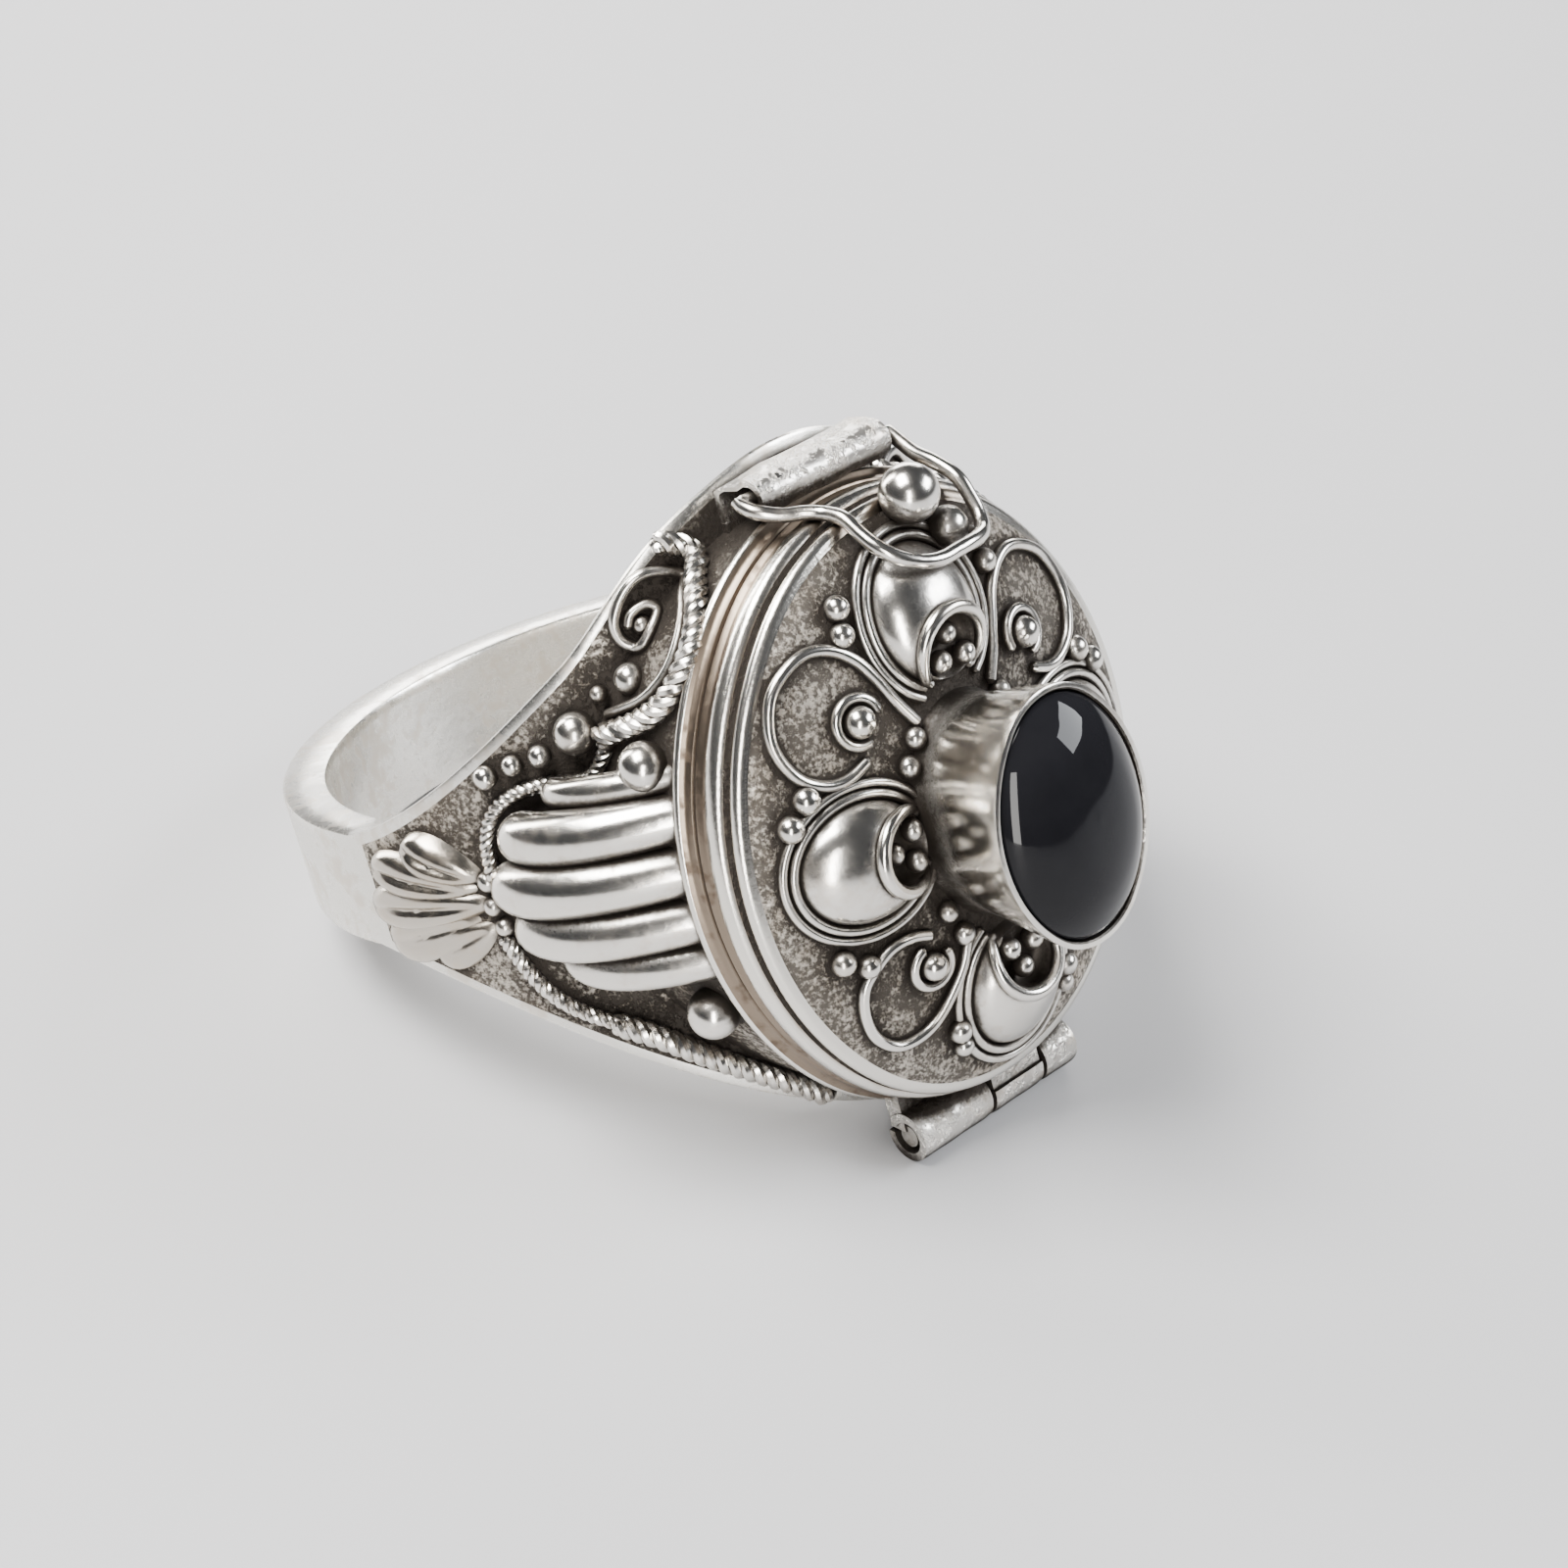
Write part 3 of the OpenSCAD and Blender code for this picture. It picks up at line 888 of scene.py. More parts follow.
@dataclass
class Band(Piece):
    """The tapered sheet that makes the band and both shoulder plates."""

    title: ClassVar[str] = "band"
    steps: int = 300
    outer_columns: int = 36
    inner_columns: int = 20
    round_mm: float = 0.13
    ground_from: float = 0.6
    bright_edge: float = 0.3

    def draw(self, shape: Shape) -> None:
        """Draws the sheet with softened edges.

        Args:
            shape: Takes the surfaces.
        """
        rows = []
        r, soft = self.round_mm, 0.3 * self.round_mm
        for turn in np.linspace(-math.pi, math.pi, self.steps, endpoint=False):
            cos, sin = math.cos(turn), math.sin(turn)
            outer = np.array([M.sheet_r * cos - M.back_extra, M.sheet_r * sin])
            inner = np.array([M.bore_r * cos, M.bore_r * sin])
            (out_lo, out_hi), (in_lo, in_hi) = M.sheet_edges(outer[0]), M.sheet_edges(inner[0])
            thick = np.linalg.norm(outer - inner)
            face = np.linspace(out_lo + 3 * r, out_hi - 3 * r, self.outer_columns)
            bore = np.linspace(in_hi - 3 * r, in_lo + 3 * r, self.inner_columns)
            row = [(1.0, out_lo + r), *((1.0, z) for z in face),
                   (1.0, out_hi - r), (1 - soft / thick, out_hi - soft), (1 - r / thick, out_hi),
                   (r / thick, in_hi), (soft / thick, in_hi - soft), (0.0, in_hi - r),
                   *((0.0, z) for z in bore),
                   (0.0, in_lo + r), (soft / thick, in_lo + soft), (r / thick, in_lo),
                   (1 - r / thick, out_lo), (1 - soft / thick, out_lo + soft)]
            rows.append([(*(inner + (outer - inner) * t), z) for t, z in row])
        shape.grid(rows, Finish.BAND, True, True)
        self._mark_ground(shape)

    def _mark_ground(self, shape: Shape) -> None:
        """Gives the outside of the shoulder plates their stippled ground, up to a bright edge.

        Args:
            shape: Holds the sheet.
        """
        points = np.vstack(shape.points)
        for i, corners in enumerate(shape.faces):
            x, y, z = points[list(corners)].mean(0)
            low, high = M.sheet_edges(x)
            outside = math.hypot(x + M.back_extra, y) > M.sheet_r - 0.03
            if outside and x > self.ground_from and low + self.bright_edge < z < high - self.bright_edge:
                shape.marks[i] = Finish.GROUND


@dataclass
class Box(Piece):
    """The oval wall of the compartment, with its rounded rim."""

    title: ClassVar[str] = "box_wall"
    foot_r: float = 9.7
    lip: float = 0.5
    # Columns: inset, height above the lip's foot
    bead: tuple[Pair, ...] = (
        (0.16, -0.12), (0.05, -0.06), (0.0, 0.03), (0.01, 0.12), (0.07, 0.19), (0.17, 0.24), (0.24, 0.33))

    def draw(self, shape: Shape) -> None:
        """Draws the wall from the band up to the rim.

        Args:
            shape: Takes the surfaces.
        """
        lip_x = M.rim_x - self.lip
        outside = [(M.rim_out, x) for x in (6.0, 8.0, 9.5, 10.8, lip_x - 0.14)]
        bead = [*((inset, lip_x + rise) for inset, rise in self.bead),
                (0.28, M.rim_x - 0.04), (0.34, M.rim_x)]
        inside = [(1.08, M.rim_x), (1.16, M.rim_x - 0.06), (1.18, 11.0), (1.18, 6.0)]
        rows = M.sweep(M.half_l, M.half_w, [*outside, *bead, *inside])
        foot = np.sqrt(np.maximum(self.foot_r ** 2 - rows[..., 1] ** 2, 1.0))
        rows[..., 0] = np.maximum(rows[..., 0], np.minimum(foot, lip_x - 0.3))
        rows = M.clear_barrel(rows, M.lid_knuckle)
        shape.grid(rows, Finish.SIDE, True, True)
        bead_at = len(outside)
        spans = ((0, bead_at - 1, Finish.GROUND), (bead_at + 4, bead_at + len(bead), Finish.COVE))
        shape.mark_spans(rows.shape[1], spans)


@dataclass
class Melon(ShoulderPiece):
    """The stacked ribs on a shoulder."""

    title: ClassVar[str] = "melon"
    # Columns: place along, radius, length share
    ribs: tuple[Triple, ...] = (
        (3.32, 0.46, 0.74), (2.22, 0.80, 0.92), (0.76, 0.84, 1.0), (-0.70, 0.80, 0.95), (-1.98, 0.68, 0.80))
    x0: float = 5.5
    x1: float = 11.3
    rise: float = 1.35
    sunk: float = 0.85
    belly: float = 0.62
    tip_share: float = 0.16
    tip_r: float = 0.45
    lean: float = 0.10
    lean_from: float = 0.7

    def draw(self, shape: Shape) -> None:
        """Draws the ribs as bulging rolls with rounded tips.

        Args:
            shape: Takes the surfaces.
        """
        for z, radius, length in self.ribs:
            x0 = self.x1 - (self.x1 - self.x0) * length
            start = np.array([x0, M.sheet_y(x0) - self.sunk + 0.25])
            chord = np.array([self.x1, M.wall_y(z) - self.sunk / 2]) - start
            out = np.array([-chord[1], chord[0]]) / np.linalg.norm(chord)
            share = np.linspace(0, 1, 40)
            swell = share ** self.belly
            bulge = (self.rise * length + self.sunk / 2) * 4 * swell * (1 - swell)
            line = start + chord * share[:, None] + out * bulge[:, None]
            lean = (z - self.lean_from) * self.lean * (1 - share) ** 2
            path = np.column_stack([line[:, 0], self.side.value * line[:, 1], z - lean])
            tip = np.clip(np.sqrt(np.clip(share / self.tip_share, 0, 1)), self.tip_r, 1)
            shape.tube(path, radius * tip * (0.9 + 0.1 * np.sin(np.pi * share)), Finish.BRIGHT, 24)


@dataclass
class ShoulderTrim(ShoulderPiece):
    """Ropes, scroll, balls, beads and grains on a shoulder, as places in the side view."""

    title: ClassVar[str] = "trim"
    fine_r: float = 0.23
    coarse_r: float = 0.36
    scroll_r: float = 0.16
    fine_upper: tuple[Pair, ...] = (
        (5.15, 0.6), (5.18, 1.2), (5.3, 1.95), (5.7, 2.65), (6.3, 3.02), (7.0, 3.15), (7.55, 2.98),
        (8.05, 3.1), (8.45, 3.45), (8.7, 3.9))
    coarse_upper: tuple[Pair, ...] = (
        (8.5, 4.25), (9.26, 4.45), (10.0, 4.68), (10.7, 5.0), (11.25, 5.42), (11.55, 5.95), (11.66, 6.5),
        (11.5, 7.05), (11.1, 7.5), (10.5, 7.9), (10.05, 8.4), (9.7, 8.95))
    fine_lower: tuple[Pair, ...] = (
        (4.98, -1.3), (5.3, -2.3), (5.75, -3.2), (6.35, -3.85), (6.95, -4.3))
    coarse_lower: tuple[Pair, ...] = (
        (7.1, -4.4), (7.65, -4.85), (8.15, -5.45), (8.7, -6.2), (9.2, -6.95), (9.6, -7.65), (9.9, -8.4))
    scroll: tuple[Pair, ...] = (
        (8.58, 4.73), (9.3, 4.95), (9.9, 5.17), (10.4, 5.5), (10.76, 5.95), (10.86, 6.5), (10.7, 7.05),
        (10.3, 7.5), (9.9, 7.85), (9.6, 8.15), (9.38, 8.2), (9.18, 8.0), (9.0, 7.6), (8.88, 7.1),
        (8.92, 6.6), (9.14, 6.32), (9.42, 6.4), (9.58, 6.75), (9.54, 7.15), (9.36, 7.38), (9.14, 7.25),
        (9.06, 6.95))
    # Columns: height, along, radius, lift as a share of the radius
    balls: tuple[tuple[float, float, float, float], ...] = (
        (7.9, 4.42, 0.62, 0.5), (10.6, 3.7, 0.72, 0.5), (10.5, -3.85, 0.76, 0.4), (9.25, 6.86, 0.27, 0.5),
        (9.2, 5.6, 0.46, 0.1), (8.35, 5.3, 0.26, 0.3), (8.72, 4.05, 0.28, 0.6), (7.0, 3.95, 0.34, 0.3),
        (6.35, 3.82, 0.31, 0.3), (5.65, 3.6, 0.35, 0.3), (7.05, -4.35, 0.27, 0.6), (9.85, -8.3, 0.32, 0.3),
        (4.9, 0.48, 0.31, 0.3), (4.86, -0.28, 0.30, 0.3), (5.0, -0.95, 0.29, 0.3))

    def _line(self, places: Sequence[Pair], lift: float) -> list[Point]:
        """Places of a line on the flank, lifted outwards."""
        return [M.flank(place, self.side, lift) for place in places]

    def draw(self, shape: Shape) -> None:
        """Draws all the trim of the shoulder.

        Args:
            shape: Takes the surfaces.
        """
        for places, radius in ((self.fine_upper, self.fine_r), (self.fine_lower, self.fine_r),
                               (self.coarse_upper, self.coarse_r), (self.coarse_lower, self.coarse_r)):
            shape.rope(self._line(places, radius * 0.75), radius, radius * 3.2, Finish.ROPE)
        scroll = smooth_path(self._line(self.scroll, self.scroll_r * 0.7), 0.08)
        shape.tube(scroll, self.scroll_r, Finish.BRIGHT)
        for x, z, radius, lift in self.balls:
            shape.ball(M.flank((x, z), self.side, radius * lift), radius, Finish.BRIGHT)


@dataclass
class Leaf(ShoulderPiece):
    """The bud of curled lobes where a shoulder meets the band."""

    title: ClassVar[str] = "leaf"
    # Columns: middle height, middle along, half length, half width, turn in degrees, rise
    lobes: tuple[tuple[float, float, float, float, float, float], ...] = (
        (2.45, -1.15, 1.85, 0.80, 14.0, 0.34), (3.55, -1.45, 1.2, 0.66, 24.0, 0.32),
        (2.5, -0.3, 2.25, 0.74, 2.0, 0.46), (2.6, 0.6, 1.85, 0.70, -12.0, 0.50),
        (3.55, 1.15, 1.3, 0.66, -28.0, 0.62))
    narrowing: float = 0.35
    crease_depth: float = 0.35
    crease_w: float = 0.13
    sunk: float = 0.06

    def draw(self, shape: Shape) -> None:
        """Draws each lobe as a low pointed dome with a crease.

        Args:
            shape: Takes the surfaces.
        """
        for x, z, length, width, turn, rise in self.lobes:
            cos, sin = math.cos(math.radians(turn)), math.sin(math.radians(turn))
            rows = []
            for ring in np.linspace(1.0, 0.0, 9):
                row = []
                for t in full_turn(36):
                    u = length * ring * math.cos(t)
                    v = width * ring * math.sin(t) * (1 - self.narrowing * math.cos(t))
                    crease = 1 - self.crease_depth * math.exp(-(v / self.crease_w) ** 2) * (1 - ring ** 4)
                    height = rise * math.sqrt(max(0.0, 1 - ring ** 2.2)) * crease - self.sunk
                    px, pz = x + u * cos - v * sin, z + u * sin + v * cos
                    row.append((px, self.side.value * (M.sheet_y(px) + height), pz))
                rows.append(row)
            shape.grid(rows, Finish.LEAF, False, True)


# Hinge and catch


@dataclass
class Knuckle:
    """A strip rolled round the hinge pin, with its foot on the box (foot_way -1) or the lid (1)."""

    ends: Pair
    foot_way: int
    outer_r: float = 0.77
    sheet: float = 0.24
    inward: float = 0.05
    wear: float = 0.008
    end_size: float = 0.975
    # Where the roll starts and ends, in degrees from the foot
    roll: Pair = (-8, 322)

    def section(self) -> list[Pair]:
        """Outline of the rolled strip, as height and place along.

        Returns:
            The closed outline.
        """
        turns = np.radians(np.linspace(*self.roll, 44))
        inner_r = self.outer_r - self.sheet - self.inward * turns / 6
        outer = [(self.foot_way * math.cos(t) * self.outer_r, -math.sin(t) * self.outer_r) for t in turns]
        inner = [(self.foot_way * math.cos(t) * r, -math.sin(t) * r) for t, r in zip(turns, inner_r)]
        return [*outer, *inner[::-1]]

    def draw(self, shape: Shape) -> None:
        """Draws the roll and its foot.

        Args:
            shape: Takes the surfaces.
        """
        rows = []
        for y in np.linspace(*self.ends, 14):
            wave = 1 + self.wear * math.sin(5.1 * y + self.foot_way)
            size = (self.end_size if y in self.ends else 1.0) * wave
            rows.append([(M.hinge_x + h * size, y, M.hinge_z + z * size) for h, z in self.section()])
        shape.grid(rows, Finish.STRIP, False, True)
        shape.strip_ends(rows, Finish.STRIP)
        self._foot(shape)

    def _foot(self, shape: Shape) -> None:
        """Draws the strip's foot, soldered to the wall.

        Args:
            shape: Takes the surfaces.
        """
        low, high = (-0.62, -0.04) if self.foot_way < 0 else (0.06, 0.66)
        y0, y1 = self.ends[0] + 0.03, self.ends[1] - 0.03
        z0, z1 = M.hinge_z + 0.25, M.hinge_z + 1.3
        section = [(low, z0), (high, z0 - 0.1), (high, z1), (low, z1)]
        rows = [[(M.hinge_x + h, y, z) for h, z in section] for y in (y0, y0 + 0.04, y1 - 0.04, y1)]
        shape.grid(rows, Finish.STRIP, False, True, True)


@dataclass
class BoxKnuckles(Piece):
    """The box's two knuckles, on both sides of the lid's."""

    title: ClassVar[str] = "box_knuckles"

    def draw(self, shape: Shape) -> None:
        """Draws both knuckles."""
        for ends in (M.near_knuckle, M.far_knuckle):
            Knuckle(ends, -1).draw(shape)


@dataclass
class LidKnuckle(Piece):
    """The lid's knuckle."""

    title: ClassVar[str] = "lid_knuckle"

    def draw(self, shape: Shape) -> None:
        """Draws the knuckle."""
        Knuckle(M.lid_knuckle, 1).draw(shape)


@dataclass
class CatchTab(Piece):
    """The folded strip that holds the bail's axle, with its curl open at the near end."""

    title: ClassVar[str] = "catch_tab"
    y0: float = -2.35
    y1: float = 2.55
    outer_r: float = 0.56
    sheet: float = 0.2
    wear: float = 0.02
    fine_wear: float = 0.012
    end_size: float = 0.96
    # Where the roll starts and ends, in degrees from the plate's side
    roll: Pair = (10, 250)
    tuck: float = 0.45
    tuck_length: float = 1.3

    def section(self, y: float) -> list[Pair]:
        """Outline of the strip: its foot on the plate, its bend and its roll round the axle.

        Args:
            y: Place across the head.

        Returns:
            The closed outline, as height and place along from the axle.
        """
        plate = math.sqrt(M.sheet_r ** 2 - y * y) - M.back_extra - M.axle_x
        low = [*((plate + rise, z) for rise, z in ((0.03, -1.2), (0.03, -0.4), (0.03, 0.12), (0.14, 0.36),
                                                   (0.42, 0.52))), (-0.5, 0.62), (-0.15, 0.60)]
        high = [*((plate + rise, z) for rise, z in ((0.24, -1.2), (0.24, -0.4), (0.24, 0.05), (0.32, 0.2),
                                                    (0.5, 0.32))), (-0.5, 0.42), (-0.15, 0.38)]
        turns = np.radians(np.linspace(*self.roll, 34))
        outer, inner = ([(math.sin(t) * r, math.cos(t) * r) for t in turns]
                        for r in (self.outer_r, self.outer_r - self.sheet))
        return [*low, *outer, *inner[::-1], *high[::-1]]

    def draw(self, shape: Shape) -> None:
        """Draws the folded strip.

        Args:
            shape: Takes the surfaces.
        """
        rows = []
        for y in np.linspace(self.y0, self.y1, 26):
            wave = 1 + self.wear * math.sin(3.7 * y) + self.fine_wear * math.sin(9.0 * y + 1)
            shrink = self.end_size if y in (self.y0, self.y1) else 1.0
            near = max(0.0, 1 - (y - self.y0) / self.tuck_length)
            row = []
            for h, z in self.section(y):
                if h < -0.3 and z > 0.15:
                    z *= 1 - self.tuck * near
                if h > -0.6:
                    h, z = h * wave * shrink, z * wave * shrink
                row.append((M.axle_x + h, y, M.axle_z + z))
            rows.append(row)
        shape.grid(rows, Finish.STRIP, False, True)
        shape.strip_ends(rows, Finish.STRIP)


@dataclass
class Bail(Piece):
    """The bent wire that swings over the catch balls."""

    title: ClassVar[str] = "bail_wire"
    radius: float = 0.215
    wear: float = 0.035
    axle_ends: Pair = (2.88, -2.62)
    # Columns: height, across, along, from the axle
    bends: tuple[Point, ...] = (
        (0, -2.75, 0), (0.5, -2.68, -0.2), (0.95, -2.22, -0.45), (1.3, -1.72, -0.55), (1.7, -1.36, -0.68),
        (2.3, -1.24, -0.85), (2.8, -1.2, -1.28), (3.3, -1.1, -1.7), (3.65, -0.76, -2.07), (3.88, -0.2, -2.38),
        (3.95, 0.4, -2.52), (3.92, 1.0, -2.52), (3.88, 1.55, -2.52), (3.7, 2.1, -2.54), (3.35, 2.58, -2.5),
        (3.02, 2.85, -2.2), (2.75, 2.92, -1.75), (2.4, 2.92, -1.2), (1.7, 2.88, -0.8), (1.0, 2.86, -0.55),
        (0.45, 2.9, -0.25), (0, 2.95, 0))

    def draw(self, shape: Shape) -> None:
        """Draws the loop and its axle.

        Args:
            shape: Takes the surfaces.
        """
        path = smooth_path([(M.axle_x + h, y, M.axle_z + z) for h, y, z in self.bends], 0.12)
        axle = [(M.axle_x, y, M.axle_z) for y in np.linspace(*self.axle_ends, 30)]
        loop = np.vstack([path, axle])
        along = np.arange(len(loop))
        wear = 1 + self.wear * np.sin(along * 0.31) * np.sin(along * 0.113)
        shape.tube(loop, self.radius * wear, Finish.BRIGHT, 16, True)


# Lid


@dataclass
class LidShell(Piece):
    """The hollow lid: ridged side, groove and stippled dome."""

    title: ClassVar[str] = "lid_shell"
    sharp_deg: ClassVar[float] = 50.0
    thick: float = 0.8
    # Columns: inset, height above the lid's foot
    side: tuple[Pair, ...] = (
        (0.36, 0.0), (0.31, 0.04), (0.33, 0.12), (0.38, 0.20), (0.42, 0.30), (0.38, 0.39), (0.30, 0.44),
        (0.25, 0.52), (0.25, 0.66), (0.27, 0.80), (0.34, 0.92), (0.48, 0.99), (0.62, 1.02), (0.66, 1.08),
        (0.62, 1.16), (0.55, 1.20), (0.50, 1.27), (0.50, 1.38), (0.56, 1.48), (0.66, 1.55))
    dome_from: float = 0.95
    cove_columns: Pair = (0, 6)
    groove_columns: Pair = (11, 15)

    def draw(self, shape: Shape) -> None:
        """Draws the shell by sweeping its outline round the oval.

        Args:
            shape: Takes the surfaces.
        """
        x, top = M.lid_x, M.ridge_x
        side = [*((inset, x + rise) for inset, rise in self.side), (0.76, top - 0.12), (0.84, top - 0.11)]
        dome = [(inset, M.dome_at(inset) - (0.06 if inset < 1.0 else 0.0))
                for inset in np.linspace(self.dome_from, 6.6, 26)]
        under = [(inset + self.thick / 2, M.dome_at(inset) - self.thick)
                 for inset in np.linspace(6.0, self.dome_from, 8)]
        foot = [(1.25, top - 0.8), (1.17, x + 0.1), (1.13, x + 0.01)]
        rows = M.sweep(M.half_l, M.half_w, [*side, *dome, *under, *foot])
        for knuckle in (M.near_knuckle, M.far_knuckle):
            rows = M.clear_barrel(rows, knuckle)
        shape.grid(rows, Finish.SIDE, True, True)
        dome_at = len(side) - 1
        spans = ((dome_at, dome_at + len(dome), Finish.GROUND), (*self.cove_columns, Finish.COVE),
                 (*self.groove_columns, Finish.GROOVE))
        shape.mark_spans(rows.shape[1], spans)


@dataclass
class Petal:
    """A polished dome in a double loop, with a crescent and three grains towards the stone."""

    at: float
    turn_deg: float
    half_w: float = 1.72
    half_l: float = 1.95
    rise: float = 1.05
    wire_r: float = 0.15
    crescent_r: float = 1.12
    crescent_at: float = -0.95
    scoop_lift: float = 0.22
    sunk: float = 0.04
    # Columns: distance outside the petal, radius as a share of the wire's
    loops: tuple[Pair, ...] = ((0.14, 1.0), (0.44, 0.85))
    loop_lift: float = 0.09
    loop_half_deg: float = 152
    crescent_half_deg: float = 140
    # Columns: place outwards from the crescent's middle, place sideways
    grains: tuple[Pair, ...] = ((0.38, 0.05), (-0.28, -0.42), (-0.36, 0.46))
    grain_r: float = 0.33
    grain_lift: float = 0.52

    def _spot(self, u: float, v: float, lift: float) -> Point:
        """A place of the motif on the dome.

        Args:
            u: Distance outwards from the petal's middle.
            v: Distance sideways.
            lift: Height above the dome.

        Returns:
            The place.
        """
        turn = math.radians(self.turn_deg)
        cos, sin = math.cos(turn), math.sin(turn)
        out = self.at + u
        return M.on_dome(out * sin + v * cos, out * cos - v * sin, lift)

    def _height(self, u: float, v: float) -> float:
        """Height of the petal's polished dome, scooped inside the crescent.

        Args:
            u: Distance outwards from the petal's middle.
            v: Distance sideways.

        Returns:
            The height above the lid's dome.
        """
        ring = (u / self.half_l) ** 2 + (v / self.half_w) ** 2
        height = self.rise * math.sqrt(max(0.0, 1 - ring ** 1.15))
        scoop = math.hypot(u - self.crescent_at, v) / (self.crescent_r - 0.1)
        if scoop < 1:
            height = min(height, self.scoop_lift + 0.5 * scoop ** 6)
        return height

    def draw(self, shape: Shape) -> None:
        """Draws the motif.

        Args:
            shape: Takes the surfaces.
        """
        rows = []
        for ring in np.linspace(1.0, 0.0, 30):
            row = []
            for t in full_turn(72):
                u, v = self.half_l * ring * math.cos(t), self.half_w * ring * math.sin(t)
                row.append(self._spot(u, v, self._height(u, v) - self.sunk))
            rows.append(row)
        shape.grid(rows, Finish.BRIGHT, False, True)
        for grow, share in self.loops:
            length, width = self.half_l + grow, self.half_w + grow
            loop = [self._spot(length * math.cos(t), width * math.sin(t), self.loop_lift)
                    for t in np.radians(np.linspace(-self.loop_half_deg, self.loop_half_deg, 30))]
            shape.tube(smooth_path(loop, 0.1), self.wire_r * share, Finish.BRIGHT)
        self._crescent(shape)

    def _crescent(self, shape: Shape) -> None:
        """Draws the crescent and its grains.

        Args:
            shape: Takes the surfaces.
        """
        turns = np.radians(np.linspace(-self.crescent_half_deg, self.crescent_half_deg, 36))
        line = []
        for t in turns:
            u, v = self.crescent_at + self.crescent_r * math.cos(t), self.crescent_r * math.sin(t)
            line.append(self._spot(u, v, max(0.12, self._height(u, v)) + 0.08))
        shape.tube(np.array(line), 0.12 + 0.09 * np.cos(turns / 1.8), Finish.BRIGHT)
        for u, v in self.grains:
            centre = self._spot(self.crescent_at + u, v, self.grain_lift)
            shape.ball(centre, self.grain_r, Finish.BRIGHT, segments=20)


@dataclass
class Curl:
    """A scroll of wire whose end rings a bead."""

    path: tuple[Pair, ...]
    bead: Pair
    wire_r: float = 0.17
    bead_r: float = 0.46
    ring_r: float = 0.66
    line_lift: float = 0.10
    ring_lift: float = 0.16
    bead_lift: float = 0.22
    mirror: int = 1

    def draw(self, shape: Shape) -> None:
        """Draws the scroll, the ring and the bead.

        Args:
            shape: Takes the surfaces.
        """
        line = [M.on_dome(y * self.mirror, z, self.line_lift) for y, z in self.path]
        shape.tube(smooth_path(line, 0.1), self.wire_r, Finish.BRIGHT)
        y, z = self.bead[0] * self.mirror, self.bead[1]
        away = math.atan2(z, y)
        turns = away + np.radians(np.linspace(-120, 150, 20))
        ring = [M.on_dome(y + self.ring_r * math.cos(t), z + self.ring_r * math.sin(t), self.ring_lift)
                for t in turns]
        shape.tube(smooth_path(ring, 0.08), self.wire_r * 0.9, Finish.BRIGHT)
        shape.ball(M.on_dome(y, z, self.bead_lift), self.bead_r, Finish.BRIGHT)


@dataclass
class LidOrnament(Piece):
    """Petals, scrolls, grains and catch balls on the lid."""

    title: ClassVar[str] = "lid_ornament"
    # Columns: distance of the petal's middle from the stone's, turn in degrees
    petals: tuple[Pair, ...] = ((5.6, 0), (4.15, 90), (5.6, 180), (4.15, 270))
    upper: tuple[Pair, ...] = (
        (-1.45, 3.02), (-1.9, 3.8), (-2.25, 4.58), (-2.63, 5.25), (-3.2, 5.75), (-3.88, 5.93),
        (-4.56, 5.73), (-5.18, 5.28), (-5.54, 4.6), (-5.65, 3.95), (-5.5, 3.3), (-5.13, 2.74), (-4.5, 2.4),
        (-3.9, 2.38), (-3.3, 2.6))
    lower: tuple[Pair, ...] = (
        (-1.45, -3.3), (-1.8, -4.2), (-2.43, -5.02), (-3.0, -5.54), (-3.67, -5.75), (-4.3, -5.64),
        (-4.85, -5.06), (-5.05, -4.24), (-4.94, -3.52), (-4.55, -3.08), (-4.0, -2.72), (-3.36, -2.66),
        (-2.73, -2.85))
    # Columns: across, along, radius. All are mirrored across the head
    grains: tuple[Triple, ...] = (
        (-1.66, 2.62, 0.33), (-2.1, 1.95, 0.34), (-5.3, 2.3, 0.40), (-5.92, 1.72, 0.39), (-2.58, 6.7, 0.37),
        (-2.74, 6.0, 0.36), (-2.0, -2.45, 0.32), (-1.62, -3.3, 0.34), (-5.43, -2.5, 0.37),
        (-4.73, -2.9, 0.35), (-2.18, -6.17, 0.36), (-2.07, -6.72, 0.31))
    # Columns: height, across, along, radius
    catch_balls: tuple[tuple[float, float, float, float], ...] = (
        (14.51, 0.8, 8.7, 0.85), (14.55, 1.8, 7.35, 0.6))

    def draw(self, shape: Shape) -> None:
        """Draws the ornament.

        Args:
            shape: Takes the surfaces.
        """
        for at, turn in self.petals:
            Petal(at, turn).draw(shape)
        for mirror in (1, -1):
            Curl(self.upper, (-3.2, 3.72), mirror=mirror).draw(shape)
            Curl(self.lower, (-2.85, -3.75), bead_r=0.41, ring_r=0.60, mirror=mirror).draw(shape)
            for y, z, radius in self.grains:
                shape.ball(M.on_dome(y * mirror, z, radius * 0.35), radius, Finish.BRIGHT, segments=20)
        for x, y, z, radius in self.catch_balls:
            shape.ball((x, y, z), radius, Finish.BRIGHT, segments=40)


